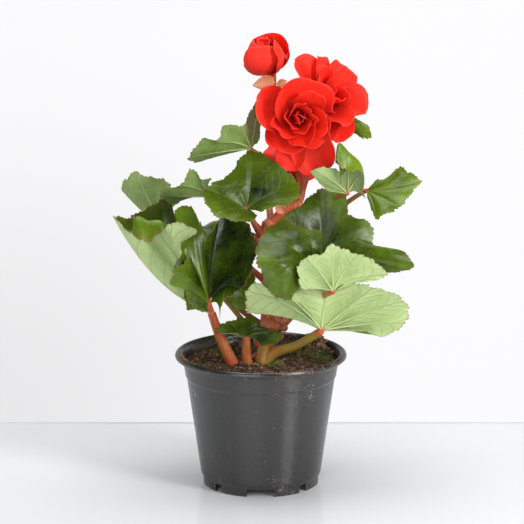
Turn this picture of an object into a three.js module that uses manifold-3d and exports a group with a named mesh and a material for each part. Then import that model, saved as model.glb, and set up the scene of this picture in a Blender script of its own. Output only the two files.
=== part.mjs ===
// A potted begonia: a 12 cm nursery pot, its soil, the stems, the leaves and four double blooms.
// Millimetres, +Z up, the front towards -Y. The origin is on the pot's axis, on the surface it stands on.
import * as THREE from "three";
import { mergeVertices } from "three/addons/utils/BufferGeometryUtils.js";
import Module from "manifold-3d";

const wasm = await Module();
wasm.setup();

// Clear distance between pieces that touch.
const GAP = 0.3;

// Pot.
const RIM_RADIUS = 60;
const RIM_TOP = 93.5;
const RING_HEIGHT = 77.4;
const FOOT_RADIUS = 41.2;
const FOOT_HEIGHT = 5.9;
const WALL = 1.1;
const BODY_RADIUS = 51.8;
const RING_RADIUS = 52.6;
const COLLAR_RADIUS = 54.4;
const COLLAR_BORE = 53.5;
const RING_BORE = 51.5;
const BODY_BORE = 50.7;
const FLARE = 1;
const FLOOR = 1.2;
const PAD_RADIUS = 12;
const PAD_SLOPE = 6;
const POT_SIDES = 32;
const NOTCH = { count: 8, wide: 20, narrow: 6.5, height: 5.3, depth: 8 };
const DRAIN = { count: 8, radius: 3.3, at: 29, depth: 6, sides: 8 };

// Soil.
const SOIL_TOP = 86.5;
const SOIL_SIDES = 22;
const SOIL_RINGS = [10, 20, 30, 40];
const SOIL_ROUGHNESS = 1.6;
const SOIL_CROWN = 1.5;
const SOIL_LIP = 3;
const MOUND = { x: 38, y: 28, radius: 12, height: 10 };

// Leaves.
const BLADE = 0.8;
const TOOTH = 1.1;
const QUILT = 1.3;
const COLUMNS_PER_VEIN = 2;
const BLADE_ROWS = [0, 0.42, 0.8, 1];
const BRACT_SHAPE = [0.35, 0.9, 1, 0.6, 0.08];

// Petals.
const PETAL = 0.8;
const PETAL_COLUMNS = 4;
const PETAL_ROWS = 3;
const SHINGLE = 16;
const PETAL_ROOT = 0.7;

// The plant is laid out as it stands in a view from the front and a little above: [across, up, back],
// with across and up measured square to the line of sight in the plane through the sight point, and back
// the depth behind the pot's axis.
const SIGHT = { drop: 12.1, distance: 1460, side: 0.8, height: 157, up: 151.5 };

function seen([across, up, back]) {
  const drop = THREE.MathUtils.degToRad(SIGHT.drop);
  const rise = (up - SIGHT.up) / SIGHT.distance;
  const ahead = rise * (SIGHT.distance + back * Math.cos(drop)) - back * Math.sin(drop);
  const above = ahead / (Math.cos(drop) + rise * Math.sin(drop));
  const depth = SIGHT.distance + back * Math.cos(drop) - above * Math.sin(drop);
  const x = SIGHT.side + ((across - SIGHT.side) * depth) / SIGHT.distance;
  return new THREE.Vector3(x, back, SIGHT.height + above);
}

// Each leaf: the stalk's route from its stem, the base of the blade, and its main veins, anticlockwise seen
// from the upper side, each as the point where it bends and the point where it ends.
const LEAVES = {
  leaf_upper_left: {
    stalk: [[2, 165, 4], [-3, 175, -6]],
    thick: [2.4, 1.9],
    base: [-10, 188, -18],
    veins: [
      [[-4, 187, -22], [0, 186, -28]],
      [[1, 190, -22], [10, 189, -26]],
      [[8, 194, -16], [26, 196, -14]],
      [[10, 201, -10], [25, 207, -6]],
      [[3, 208, -8], [14, 217, -4]],
      [[-7, 208, -8], [-7, 229, 2]],
      [[-16, 203, -12], [-23, 210, -6]],
      [[-23, 196, -20], [-38, 203, -22]],
      [[-24, 191, -30], [-39, 193, -40]],
      [[-20, 188, -34], [-31, 184, -46]],
      [[-12, 185, -34], [-19, 179, -48]],
      [[-8, 185, -30], [-7, 180, -42]],
      [[-7, 186.5, -24], [-3, 184, -36]],
    ],
  },
  leaf_top_left: {
    stalk: [[20, 209, 12], [14, 217, 8], [5, 223, 4]],
    thick: [1.1, 1],
    base: [-7, 230, 2],
    veins: [
      [[-23, 225.5, 0], [-45, 219.5, -6]],
      [[-27, 228, -8], [-50, 224, -14]],
      [[-23, 232, -12], [-40, 237, -22]],
      [[-17, 234, -10], [-31, 235, -20]],
      [[-14, 238, -12], [-25, 246, -24]],
      [[-11, 239, -8], [-16, 246, -16]],
      [[-7, 240, -2], [-10, 248, -8]],
      [[-4.5, 246, 6], [-1.5, 264, 4]],
      [[-2, 244, 10], [3, 258, 12]],
      [[-3, 239, 10], [1, 248, 16]],
      [[-3, 236, 8], [-1, 240, 12]],
      [[-5, 233, 6], [-3, 234, 10]],
    ],
  },
  leaf_left_high: {
    stalk: [[3, 171, 4], [-8, 182, 10], [-20, 193, 6]],
    thick: [1.7, 1.3],
    base: [-32, 197, -2],
    veins: [
      [[-46, 196, 0], [-63, 192, 2]],
      [[-48, 197, -6], [-69, 197, -6]],
      [[-48, 200, -8], [-65, 203, -12]],
      [[-46, 203, -8], [-56, 205, -14]],
      [[-43, 204, -8], [-48, 216, -14]],
      [[-39, 203, -6], [-42, 208, -12]],
      [[-36, 203, -4], [-34, 208, -10]],
    ],
  },
  leaf_far_left_back: {
    stalk: [[6, 118, 6], [-14, 128, 16], [-44, 154, 28]],
    thick: [2.2, 1.5],
    base: [-68, 176, 24],
    veins: [
      [[-81, 186, 20], [-97, 202, 10]],
      [[-79, 190, 16], [-94, 208, 4]],
      [[-77, 194, 14], [-87, 213, 0]],
      [[-74, 194, 14], [-79, 210, 4]],
      [[-70, 194, 16], [-71, 210, 8]],
      [[-67, 192, 18], [-64, 206, 14]],
      [[-64, 187, 20], [-57, 193, 20]],
    ],
  },
  leaf_left: {
    stalk: [[-6, 66, 0], [-18, 79, -9], [-27, 97, -12]],
    thick: [5.2, 3],
    base: [-34, 116, -14],
    veins: [
      [[-42, 146, 10], [-61, 179, 12]],
      [[-56, 156, 4], [-64, 196, 8]],
      [[-66, 156, 0], [-77, 190, 2]],
      [[-70, 149, -6], [-92, 182, -4]],
      [[-70, 139, -20], [-103, 182.5, -16]],
      [[-85, 178, -28], [-88, 170, -36]],
      [[-77, 179, -30], [-78, 165, -40]],
      [[-66, 178, -32], [-70, 172, -40]],
      [[-59, 160, -34], [-61, 179, -40]],
      [[-54, 156, -36], [-45, 173, -48]],
      [[-53, 146, -36], [-55, 165, -48]],
      [[-52, 142, -32], [-55, 157, -46]],
      [[-49, 132, -26], [-60, 147, -32]],
      [[-42, 125, -22], [-54, 132, -32]],
      [[-41, 119, -18], [-51, 118.5, -26]],
    ],
  },
  leaf_centre_left: {
    stalk: [[-26, 95, -5], [-32, 110, -20]],
    thick: [2.6, 1.8],
    base: [-36, 123, -30],
    veins: [
      [[-30, 123, -34], [-28, 113, -40]],
      [[-30, 127, -31], [-25, 125, -36]],
      [[-25, 135, -32], [-14, 133, -42]],
      [[-20, 143, -32], [-5, 147, -44]],
      [[-20, 152, -24], [-5, 167, -24]],
      [[-25, 156, -14], [-14, 185, -4]],
      [[-33, 156, -14], [-29, 181, -4]],
      [[-38, 154, -22], [-36.5, 171, -20]],
      [[-43, 158, -26], [-49, 190, -14]],
      [[-48, 156, -28], [-59, 187, -16]],
      [[-50, 152, -32], [-58, 172, -20]],
      [[-46, 145, -37], [-50, 156, -36]],
      [[-49, 139, -45], [-61, 145, -54]],
      [[-48, 132, -42], [-62, 136, -50]],
      [[-43, 127, -38], [-53, 132, -46]],
      [[-42, 123, -36], [-46, 120, -42]],
      [[-37, 119, -36], [-33, 117, -42]],
    ],
  },
  leaf_low: {
    stalk: [[-6, 66, -4], [-9, 79, -10], [-10, 90, -12]],
    thick: [4.6, 2.6],
    base: [-10, 99, -14],
    veins: [
      [[-4, 98, -16], [1, 93, -22]],
      [[1, 100, -16], [12, 96, -22]],
      [[1, 103, -14], [14, 102, -16]],
      [[-3, 106, -10], [1, 107, -8]],
      [[-7, 106, -8], [-5, 113, -4]],
      [[-12, 106, -10], [-14, 113, -6]],
      [[-16, 104, -12], [-21, 111, -8]],
      [[-20, 104, -16], [-30, 108, -16]],
      [[-20, 102, -20], [-28, 102, -24]],
      [[-16, 100, -20], [-16, 102, -26]],
    ],
  },
  leaf_behind_left: {
    stalk: [[3, 92, 0], [-10, 108, 6], [-20, 120, 8]],
    thick: [2, 1.7],
    base: [-26, 127, 8],
    veins: [
      [[-20, 123, 2], [-17, 119, -4]],
      [[-16, 126, 4], [-7, 120, 0]],
      [[-14, 132, 8], [-3, 131, 8]],
      [[-16, 139, 12], [-6, 146, 16]],
      [[-21, 140, 16], [-20, 160, 24]],
      [[-27, 138, 16], [-32, 152, 24]],
      [[-31, 132, 14], [-39, 139, 20]],
      [[-29, 129, 6], [-31, 125, 2]],
    ],
  },
  leaf_centre: {
    stalk: [[6, 124, 4], [16, 130, -2], [31, 144, -14]],
    thick: [2.6, 2],
    base: [39, 152, -26],
    veins: [
      [[41, 162, -24], [42, 172, -18]],
      [[35, 163, -28], [31, 174, -20]],
      [[27, 163, -32], [18, 178, -20]],
      [[22, 161, -36], [6, 176, -24]],
      [[17, 156, -42], [-2, 165, -36]],
      [[17, 153, -45], [-3, 153, -48]],
      [[19, 149, -47], [1, 143, -52]],
      [[20, 146, -49], [5, 132, -52]],
      [[22, 143, -46], [17, 125, -51]],
      [[25, 142, -42], [25, 131, -42]],
      [[31, 149, -34], [29, 146, -40]],
    ],
  },
  leaf_right: {
    stalk: [[6, 128, 4], [27, 137, 2]],
    thick: [2.8, 2.2],
    base: [42, 147, 0],
    veins: [
      [[62, 148.5, 0], [84, 143.5, 0]],
      [[69, 152.5, -2], [105, 148, -4]],
      [[67, 158.5, 2], [97, 160, 3]],
      [[62, 166, 6], [79.5, 160.5, 8]],
      [[59, 171, 8], [76, 178, 14]],
      [[54, 175.5, 10], [61.5, 184, 14]],
      [[50, 177, 12], [58, 200, 18]],
      [[42, 177, 12], [42, 202, 20]],
      [[34, 175, 8], [29, 193, 14]],
      [[27, 172, 4], [17, 187, 8]],
      [[22, 168, 0], [4, 176, 2]],
      [[26, 160, -4], [10, 163, -4]],
    ],
  },
  leaf_right_pale: {
    stalk: [[6, 110, 4], [31, 123, -14]],
    thick: [2.4, 1.8],
    base: [50, 131, -30],
    veins: [
      [[40, 133, -38], [28, 132, -44]],
      [[37, 139, -42], [26, 147, -51]],
      [[40, 145, -44], [31, 154, -52]],
      [[44, 147, -42], [43, 158, -48]],
      [[49, 149, -39], [48, 164, -44]],
      [[53, 147, -30], [55, 161, -32]],
      [[58, 146, -26], [67, 157, -26]],
      [[63, 143, -22], [75, 154, -20]],
      [[66, 140, -18], [87, 142, -12]],
      [[60, 136, -24], [69, 137, -18]],
    ],
  },
  leaf_front_right: {
    stalk: [[2, 82, -8], [9, 88.5, -10], [24, 93.5, -17]],
    thick: [4.4, 2.5],
    base: [42, 104, -30],
    veins: [
      [[23, 110.5, -35], [-10, 116, -36]],
      [[17, 123, -40], [-10, 132, -44]],
      [[20, 125, -42], [-2, 136, -48]],
      [[26, 122, -42], [10, 132, -50]],
      [[33, 122, -34], [27, 135, -34]],
      [[44, 123, -26], [48, 139, -20]],
      [[56, 124, -22], [67, 137, -18]],
      [[63, 122, -22], [78, 134, -20]],
      [[69, 120, -24], [89, 131, -24]],
      [[72, 116, -26], [99, 125, -28]],
      [[72, 111, -30], [102, 118, -34]],
      [[70, 108, -34], [100, 109, -40]],
      [[65, 105, -34], [86, 101, -42]],
      [[58, 104, -32], [72, 104, -38]],
    ],
  },
  leaf_upper_right: {
    stalk: [[5, 178, 5], [22, 182, 20], [44, 193, 27], [54, 197, 14]],
    thick: [1.9, 1.5],
    base: [60, 199, 0],
    veins: [
      [[53, 200, -2], [47, 200, -4]],
      [[49, 203, -6], [37, 209, -12]],
      [[49, 208, -8], [36, 215, -16]],
      [[52, 210, -6], [46, 217, -10]],
      [[55, 207, 0], [58, 214, 0]],
      [[54, 232, -6], [52, 222, -14]],
      [[61, 227, -6], [58.5, 215, -14]],
      [[67, 219, -4], [69, 213, -12]],
      [[69, 211, -2], [71, 204, -6]],
      [[66, 200, 2], [71.5, 196, 2]],
    ],
  },
  leaf_far_right: {
    stalk: [[3, 171, 5], [26, 172, 26], [50, 186, 32], [66, 197, 20]],
    thick: [2, 1.6],
    base: [73, 201, 8],
    veins: [
      [[74, 197, 4], [74, 194, 2]],
      [[78, 192, -2], [79, 180, -12]],
      [[83, 192, -4], [87, 184, -14]],
      [[88, 194, -4], [98, 188, -14]],
      [[91, 198, -2], [105, 198, -8]],
      [[94, 203, 2], [113, 208, 0]],
      [[91, 205, 6], [104, 215, 8]],
      [[88, 208, 10], [96, 219, 14]],
      [[84, 208, 10], [88, 211, 12]],
      [[78, 206, 10], [81, 210, 12]],
    ],
  },
  leaf_behind_bloom: {
    stalk: [[37, 243, 38], [44, 247, 43]],
    thick: [1.2, 1],
    base: [50, 250.5, 48],
    veins: [
      [[57, 246, 46], [64, 241, 42]],
      [[62, 247, 44], [71, 237, 38]],
      [[65, 248, 44], [76, 238, 38]],
      [[65, 249, 46], [75, 245, 42]],
      [[62, 251, 48], [70, 249, 46]],
      [[57, 253.5, 50], [63, 253, 50]],
    ],
  },
};

// The leaves on the far side, which the front view hides. Each has a stalk and a base in plain [x, y, z],
// the compass heading and the pitch of its middle vein in degrees, and its length.
const FAR_LEAVES = {
  leaf_back_high: {
    stalk: [[7, 6, 184], [5, 20, 196]],
    base: [0, 32, 204],
    heading: 100,
    pitch: 8,
    long: 42,
  },
  leaf_back_left: {
    stalk: [[5, 8, 140], [-12, 22, 152]],
    base: [-26, 36, 165],
    heading: 128,
    pitch: 12,
    long: 50,
  },
  leaf_back_right: {
    stalk: [[8, 8, 134], [22, 26, 146]],
    base: [32, 42, 156],
    heading: 56,
    pitch: 6,
    long: 50,
  },
  leaf_back_low_left: {
    stalk: [[4, 8, 108], [-12, 22, 116]],
    base: [-27, 35, 126],
    heading: 118,
    pitch: 0,
    long: 44,
  },
  leaf_back_low_right: {
    stalk: [[7, 6, 102], [22, 26, 112]],
    base: [33, 38, 124],
    heading: 62,
    pitch: 4,
    long: 46,
  },
};
// Around its base such a leaf has a vein at each of these angles, and it is this long for its angle.
const FAR_VEINS = [-150, -112, -72, -30, 0, 34, 74, 114, 152];
const FAR_LENGTHS = [0.44, 0.62, 0.68, 0.84, 1, 0.72, 0.6, 0.54, 0.38];
const FAR_RIPPLE = 0.07;
const FAR_THICK = [2.4, 1.8];
const FAR_ARCH = 0.12;
const FAR_DROOP = 0.34;
const FAR_KNEE = 0.55;

// Bracts and stipules are small blades: their base and tip as seen, the width and which way they cup.
const BRACTS = {
  bract_left: { base: [9.2, 277, 3], tip: [-5.6, 273.6, -2], wide: 5.2, cup: 2.5 },
  bract_right: { base: [11.35, 274, 8.4], tip: [17.8, 277, 11.4], wide: 2.6, cup: 1.2 },
  stipule_low: { base: [12, 112, -2], tip: [21, 117, -6], wide: 4, cup: 2 },
  stipule_high: { base: [16, 186, 3], tip: [10, 192, -2], wide: 3.4, cup: 1.6 },
};
const SMALL_BUD = { at: [-4, 167, -3], radius: 2.6, stretch: 1.5, lean: -0.6 };

// Each stem: its route, and its radius along it. They leave the crown, which lies under the soil.
const CROWN = { at: [-4, 66, 4], radius: 12 };
const STEMS = {
  main: {
    route: [[1, 62, -6], [2.5, 84, -7], [4, 96, 0], [6, 111, 4], [6, 139, 4], [3, 167, 4], [5, 179, 4]],
    radii: [6.4, 5.8, 5.8, 6.4, 5.2, 4.4, 4],
  },
  flower: {
    route: [[4, 175, 4], [17, 188, 6], [26, 193, 8], [29, 203, 10], [33, 217, 12], [26.3, 245.5, 6.6]],
    radii: [3.4, 2.6, 2],
  },
  bud: {
    route: [[25, 191, 8], [20, 208, 12], [15, 229, 13], [10.5, 257, 10], [9, 284, 6]],
    radii: [2.2, 1.7, 1.4],
  },
  small_bud: { route: [[2, 164, 3], [-3, 164, -2]], radii: [1, 0.9] },
  low: { route: [[28, 199, 9], [26, 210, 19], [23, 222, 24]], radii: [1.9, 1.6] },
  right: { route: [[32, 214, 12], [35, 228, 26], [37, 243, 38], [42, 254.5, 36]], radii: [1.9, 1.6] },
};

// Each bloom: where it sits, the way it faces, the radius of its core, and its whorls of petals from the
// middle outwards. Angles are degrees, and a whorl's petals stand around its arc from its start.
const BLOOMS = {
  bloom_front: {
    at: [25, 251.5, 2],
    towards: [0.12, -1, 0.1],
    core: 7,
    whorls: [
      { count: 4, start: 20, arc: 360, from: 42, to: 12, long: 18, wide: 8.5, cup: 9, wave: 0.9 },
      { count: 1, start: 140, arc: 360, from: 66, to: 42, long: 22, wide: 13, cup: 16, wave: 0.6 },
      { count: 1, start: 212, arc: 360, from: 64, to: 30, long: 22, wide: 12, cup: 12, wave: 1.5 },
      { count: 1, start: 283, arc: 360, from: 64, to: 34, long: 21, wide: 12, cup: 12, wave: 1.5 },
      { count: 1, start: 350, arc: 360, from: 66, to: 42, long: 20, wide: 12, cup: 14, wave: 1 },
      { count: 1, start: 62, arc: 360, from: 62, to: 42, long: 22, wide: 12, cup: 14, wave: 0.6 },
      { count: 1, start: 75, arc: 360, from: 86, to: 66, long: 24, wide: 23, cup: 26, wave: 0.5 },
      { count: 1, start: 165, arc: 360, from: 88, to: 62, long: 28, wide: 18, cup: 20, wave: 0.6 },
      { count: 1, start: 243, arc: 360, from: 94, to: 46, long: 25, wide: 19, cup: 17, wave: 0.8 },
      { count: 1, start: 330, arc: 360, from: 90, to: 66, long: 20, wide: 15, cup: 20, wave: 0.8 },
      { count: 1, start: 266, arc: 360, from: 108, to: 80, long: 33, wide: 12, cup: 14, wave: 1 },
      { count: 1, start: 300, arc: 360, from: 108, to: 82, long: 37, wide: 18, cup: 17, wave: 1.2 },
    ],
  },
  bloom_right: {
    at: [44, 260.5, 36],
    towards: [0.5, -0.7, 0.45],
    core: 6,
    whorls: [
      { count: 5, start: 10, arc: 360, from: 56, to: 44, long: 26, wide: 12, cup: 14, wave: 1.4 },
      { count: 1, start: 35, arc: 360, from: 88, to: 80, long: 31.5, wide: 12.5, cup: 20, wave: 1.6 },
      { count: 1, start: 84, arc: 360, from: 86, to: 78, long: 30.5, wide: 14, cup: 20, wave: 1.6 },
      { count: 1, start: 114, arc: 360, from: 90, to: 84, long: 31.5, wide: 9.5, cup: 12, wave: 1.6 },
      { count: 1, start: 150, arc: 360, from: 88, to: 80, long: 34, wide: 17, cup: 20, wave: 1.2 },
      { count: 1, start: 212, arc: 360, from: 88, to: 80, long: 31, wide: 14.5, cup: 20, wave: 1.6 },
      { count: 1, start: 266, arc: 360, from: 88, to: 80, long: 31, wide: 14.5, cup: 20, wave: 1.6 },
      { count: 1, start: 307, arc: 360, from: 86, to: 76, long: 26, wide: 13.5, cup: 18, wave: 1.6 },
    ],
  },
  bloom_low: {
    at: [23, 226, 26],
    towards: [-0.1, 0.7, -0.5],
    core: 5,
    whorls: [
      { count: 5, start: 70, arc: 360, from: 84, to: 60, long: 18, wide: 12, cup: 16, wave: 1 },
    ],
  },
  bloom_top: {
    at: [5, 283, 5],
    towards: [-0.12, -0.16, 1],
    core: 5,
    whorls: [
      { count: 3, start: 60, arc: 360, from: 44, to: -40, long: 24, wide: 8, cup: 9, wave: 0.3 },
      { count: 1, start: 262, arc: 360, from: 97, to: -26, long: 26, wide: 18, cup: 17, wave: 0.3 },
      { count: 1, start: 350, arc: 360, from: 97, to: -34, long: 28, wide: 14.5, cup: 17, wave: 0.3 },
      { count: 1, start: 80, arc: 360, from: 97, to: -30, long: 31, wide: 18, cup: 17, wave: 0.3 },
      { count: 1, start: 172, arc: 360, from: 97, to: -34, long: 28, wide: 14.5, cup: 17, wave: 0.3 },
    ],
  },
};

// Solid helpers.

function seeded(seed) {
  let state = seed;
  return () => {
    state = (state * 1664525 + 1013904223) % 4294967296;
    return state / 4294967296;
  };
}

function solid(points, triangles) {
  const used = triangles.filter(([a, b, c]) => a !== b && b !== c && c !== a);
  return new wasm.Manifold(
    new wasm.Mesh({
      numProp: 3,
      vertProperties: Float32Array.from(points.flatMap((p) => [p.x, p.y, p.z])),
      triVerts: Uint32Array.from(used.flat()),
    }),
  );
}

function solidOf(geometry) {
  const bare = geometry.clone();
  bare.deleteAttribute("normal");
  bare.deleteAttribute("uv");
  const merged = mergeVertices(bare, 1e-4);
  const position = merged.attributes.position;
  const points = [];
  for (let i = 0; i < position.count; i++) points.push(new THREE.Vector3().fromBufferAttribute(position, i));
  const triangles = [];
  for (let i = 0; i < merged.index.count; i += 3) triangles.push([...merged.index.array.slice(i, i + 3)]);
  return solid(points, triangles);
}

function joined(solids) {
  return solids.reduce((whole, piece) => whole.add(piece));
}

function largest(body) {
  return body.decompose().reduce((best, piece) => (piece.volume() > best.volume() ? piece : best));
}

function turned(outline, sides) {
  const points = outline.map(([r, z]) => new THREE.Vector2(r, z));
  return solidOf(new THREE.LatheGeometry([...points, points[0]], sides).rotateX(Math.PI / 2));
}

// A sheet of even thickness about a grid of points, grid[column][row]. Its upper side is the one from
// which the columns run anticlockwise when the rows run outwards. A pointed sheet starts in one point.
function sheet(grid, thickness, pointed) {
  const columns = grid.length;
  const rows = grid[0].length;
  const clamp = (v, top) => Math.min(Math.max(v, 0), top);
  const at = (i, j) => grid[clamp(i, columns - 1)][clamp(j, rows - 1)];
  const normals = grid.map((column, i) =>
    column.map((_, j) => {
      const outwards = at(i, j + 1).clone().sub(at(i, j - 1));
      const around = at(i + 1, Math.max(j, 1)).clone().sub(at(i - 1, Math.max(j, 1)));
      return outwards.cross(around).normalize();
    }),
  );
  if (pointed) {
    const mean = normals.reduce((sum, column) => sum.add(column[0]), new THREE.Vector3()).normalize();
    for (const column of normals) column[0] = mean;
  }
  const side = (sign) =>
    grid.flatMap((column, i) =>
      column.map((p, j) => p.clone().addScaledVector(normals[i][j], (sign * thickness) / 2)),
    );
  const id = (i, j) => (pointed && j === 0 ? 0 : i * rows + j);
  const below = columns * rows;
  const triangles = [];
  for (let i = 0; i < columns - 1; i++)
    for (let j = 0; j < rows - 1; j++) {
      const [a, b, c, d] = [id(i, j), id(i + 1, j), id(i + 1, j + 1), id(i, j + 1)];
      triangles.push([a, d, c], [a, c, b]);
      triangles.push([a + below, c + below, d + below], [a + below, b + below, c + below]);
    }
  const rim = [];
  for (let j = 0; j < rows - 1; j++) rim.push(id(0, j));
  for (let i = 0; i < columns - 1; i++) rim.push(id(i, rows - 1));
  for (let j = rows - 1; j > 0; j--) rim.push(id(columns - 1, j));
  if (!pointed) for (let i = columns - 1; i > 0; i--) rim.push(id(i, 0));
  rim.forEach((p, k) => {
    const q = rim[(k + 1) % rim.length];
    triangles.push([q, p, p + below], [q, p + below, q + below]);
  });
  return solid([...side(1), ...side(-1)], triangles);
}

// A round bar along a smooth route, with a radius for each point of the route.
function bar(route, radii, sides, perSpan, grow = 0) {
  const curve = new THREE.CatmullRomCurve3(route, false, "centripetal");
  const steps = (route.length - 1) * perSpan;
  const points = [];
  let normal = new THREE.Vector3(0, 1, 0);
  for (let s = 0; s <= steps; s++) {
    const along = s / steps;
    const tangent = curve.getTangent(along);
    const centre = curve.getPoint(along).addScaledVector(tangent, s === 0 ? -grow : s === steps ? grow : 0);
    normal = normal.clone().addScaledVector(tangent, -normal.dot(tangent)).normalize();
    const across = tangent.clone().cross(normal);
    const place = along * (radii.length - 1);
    const first = Math.min(Math.floor(place), radii.length - 2);
    const radius = grow + THREE.MathUtils.lerp(radii[first], radii[first + 1], place - first);
    for (let k = 0; k < sides; k++) {
      const turn = (k / sides) * 2 * Math.PI;
      points.push(
        centre
          .clone()
          .addScaledVector(normal, radius * Math.cos(turn))
          .addScaledVector(across, radius * Math.sin(turn)),
      );
    }
  }
  const triangles = [];
  const id = (s, k) => s * sides + (k % sides);
  for (let s = 0; s < steps; s++)
    for (let k = 0; k < sides; k++) {
      triangles.push([id(s, k), id(s, k + 1), id(s + 1, k + 1)], [id(s, k), id(s + 1, k + 1), id(s + 1, k)]);
    }
  for (let k = 1; k < sides - 1; k++) {
    triangles.push([id(0, 0), id(0, k + 1), id(0, k)], [id(steps, 0), id(steps, k), id(steps, k + 1)]);
  }
  return solid(points, triangles);
}

function ball(centre, radius, sides = 8) {
  return solidOf(new THREE.SphereGeometry(radius, sides, sides / 2)).translate(centre.toArray());
}

// Pot and soil.

function pot() {
  const outline = [
    [0, 0],
    [PAD_RADIUS, 0],
    [PAD_RADIUS + PAD_SLOPE, FOOT_HEIGHT],
    [FOOT_RADIUS - 1.5, FOOT_HEIGHT],
    [FOOT_RADIUS - 1.5, 0],
    [FOOT_RADIUS, 0],
    [FOOT_RADIUS + 0.2, FOOT_HEIGHT - 0.5],
    [FOOT_RADIUS + FLARE, FOOT_HEIGHT + 1],
    [BODY_RADIUS, RING_HEIGHT - 1.5],
    [RING_RADIUS, RING_HEIGHT],
    [COLLAR_RADIUS, RIM_TOP - 5.2],
    [RIM_RADIUS - 1.6, RIM_TOP - 4.3],
    [RIM_RADIUS, RIM_TOP - 2.8],
    [RIM_RADIUS - 0.8, RIM_TOP - 0.8],
    [RIM_RADIUS - 2.8, RIM_TOP],
    [RIM_RADIUS - 5, RIM_TOP - 1.4],
    [COLLAR_BORE, RIM_TOP - 5],
    [RING_BORE, RING_HEIGHT + 0.2],
    [BODY_BORE, RING_HEIGHT - 1.4],
    [FOOT_RADIUS + FLARE - WALL, FOOT_HEIGHT + FLOOR],
    [PAD_RADIUS + PAD_SLOPE, FOOT_HEIGHT + FLOOR],
    [PAD_RADIUS, FLOOR],
    [0, FLOOR],
  ];
  let body = turned(outline, POT_SIDES);
  for (let k = 0; k < NOTCH.count; k++) {
    const width = k % 2 ? NOTCH.narrow : NOTCH.wide;
    const cut = solidOf(new THREE.BoxGeometry(NOTCH.depth, width, NOTCH.height * 2));
    const turn = -90 + (k * 360) / NOTCH.count;
    body = body.subtract(cut.translate([FOOT_RADIUS, 0, 0]).rotate([0, 0, turn]));
  }
  for (let k = 0; k < DRAIN.count; k++) {
    const drill = new THREE.CylinderGeometry(DRAIN.radius, DRAIN.radius, DRAIN.depth, DRAIN.sides);
    const cut = solidOf(drill.rotateX(Math.PI / 2));
    const turn = ((k + 0.5) * 360) / DRAIN.count;
    body = body.subtract(cut.translate([DRAIN.at, 0, FOOT_HEIGHT]).rotate([0, 0, turn]));
  }
  return body;
}

function soilHeight(x, y, noise) {
  const far = Math.hypot(x - MOUND.x, y - MOUND.y) / MOUND.radius;
  const crown = SOIL_CROWN * (1 - Math.hypot(x, y) / RIM_RADIUS);
  return SOIL_TOP + crown + MOUND.height * Math.exp(-far * far) + SOIL_ROUGHNESS * (noise() - 0.5) * 2;
}

function soil(stems) {
  const noise = seeded(11);
  const points = [new THREE.Vector3(0, 0, soilHeight(0, 0, noise))];
  const ring = (radius, height) => {
    const first = points.length;
    for (let k = 0; k < SOIL_SIDES; k++) {
      const turn = (k / SOIL_SIDES) * 2 * Math.PI;
      const [x, y] = [radius * Math.cos(turn), radius * Math.sin(turn)];
      points.push(new THREE.Vector3(x, y, height ?? soilHeight(x, y, noise)));
    }
    return first;
  };
  // The wall's facets cut across its circle, so the soil keeps that much more clear of it.
  const facet = Math.cos(Math.PI / POT_SIDES);
  const inside = (radius) => radius * facet - GAP;
  const rings = SOIL_RINGS.map((radius) => ring(radius));
  const floor = FOOT_HEIGHT + FLOOR + GAP;
  rings.push(ring(inside(COLLAR_BORE) - SOIL_LIP));
  rings.push(ring(inside(COLLAR_BORE - 0.4), SOIL_TOP - 0.8));
  rings.push(ring(inside(RING_BORE), RING_HEIGHT));
  rings.push(ring(inside(BODY_BORE), RING_HEIGHT - 2));
  rings.push(ring(inside(FOOT_RADIUS + FLARE - WALL + 0.1), floor));
  const foot = points.push(new THREE.Vector3(0, 0, floor)) - 1;
  const triangles = [];
  const id = (first, k) => first + (k % SOIL_SIDES);
  for (let k = 0; k < SOIL_SIDES; k++) {
    triangles.push([0, id(rings[0], k), id(rings[0], k + 1)]);
    triangles.push([foot, id(rings.at(-1), k + 1), id(rings.at(-1), k)]);
    for (let r = 0; r < rings.length - 1; r++) {
      const [a, b] = [rings[r], rings[r + 1]];
      triangles.push([id(a, k), id(b, k), id(b, k + 1)], [id(a, k), id(b, k + 1), id(a, k + 1)]);
    }
  }
  return solid(points, triangles).subtract(stems);
}

// Leaves.

function smooth(values, place) {
  const last = values.length - 1;
  const first = Math.min(Math.floor(place), last - 1);
  const t = place - first;
  const [b, c] = [values[first], values[first + 1]];
  const a = first > 0 ? values[first - 1] : b.clone().multiplyScalar(2).sub(c);
  const d = first < last - 1 ? values[first + 2] : c.clone().multiplyScalar(2).sub(b);
  const slopeB = c.clone().sub(a).multiplyScalar(0.5);
  const slopeC = d.clone().sub(b).multiplyScalar(0.5);
  const [t2, t3] = [t * t, t * t * t];
  return b
    .clone()
    .multiplyScalar(2 * t3 - 3 * t2 + 1)
    .addScaledVector(slopeB, t3 - 2 * t2 + t)
    .addScaledVector(c, 3 * t2 - 2 * t3)
    .addScaledVector(slopeC, t3 - t2);
}

// A point of a vein that leaves the base, bends at its knee and ends at its tip.
function veinPoint(base, knee, tip, share) {
  const inner = knee.distanceTo(base);
  const bend = THREE.MathUtils.clamp(inner / (inner + tip.distanceTo(knee)), 0.25, 0.85);
  const slope = tip.clone().sub(base);
  if (share <= bend) {
    const pull = knee.clone().addScaledVector(slope, -bend / 2);
    return new THREE.QuadraticBezierCurve3(base, pull, knee).getPoint(share / bend);
  }
  const pull = knee.clone().addScaledVector(slope, (1 - bend) / 2);
  return new THREE.QuadraticBezierCurve3(knee, pull, tip).getPoint((share - bend) / (1 - bend));
}

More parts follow.
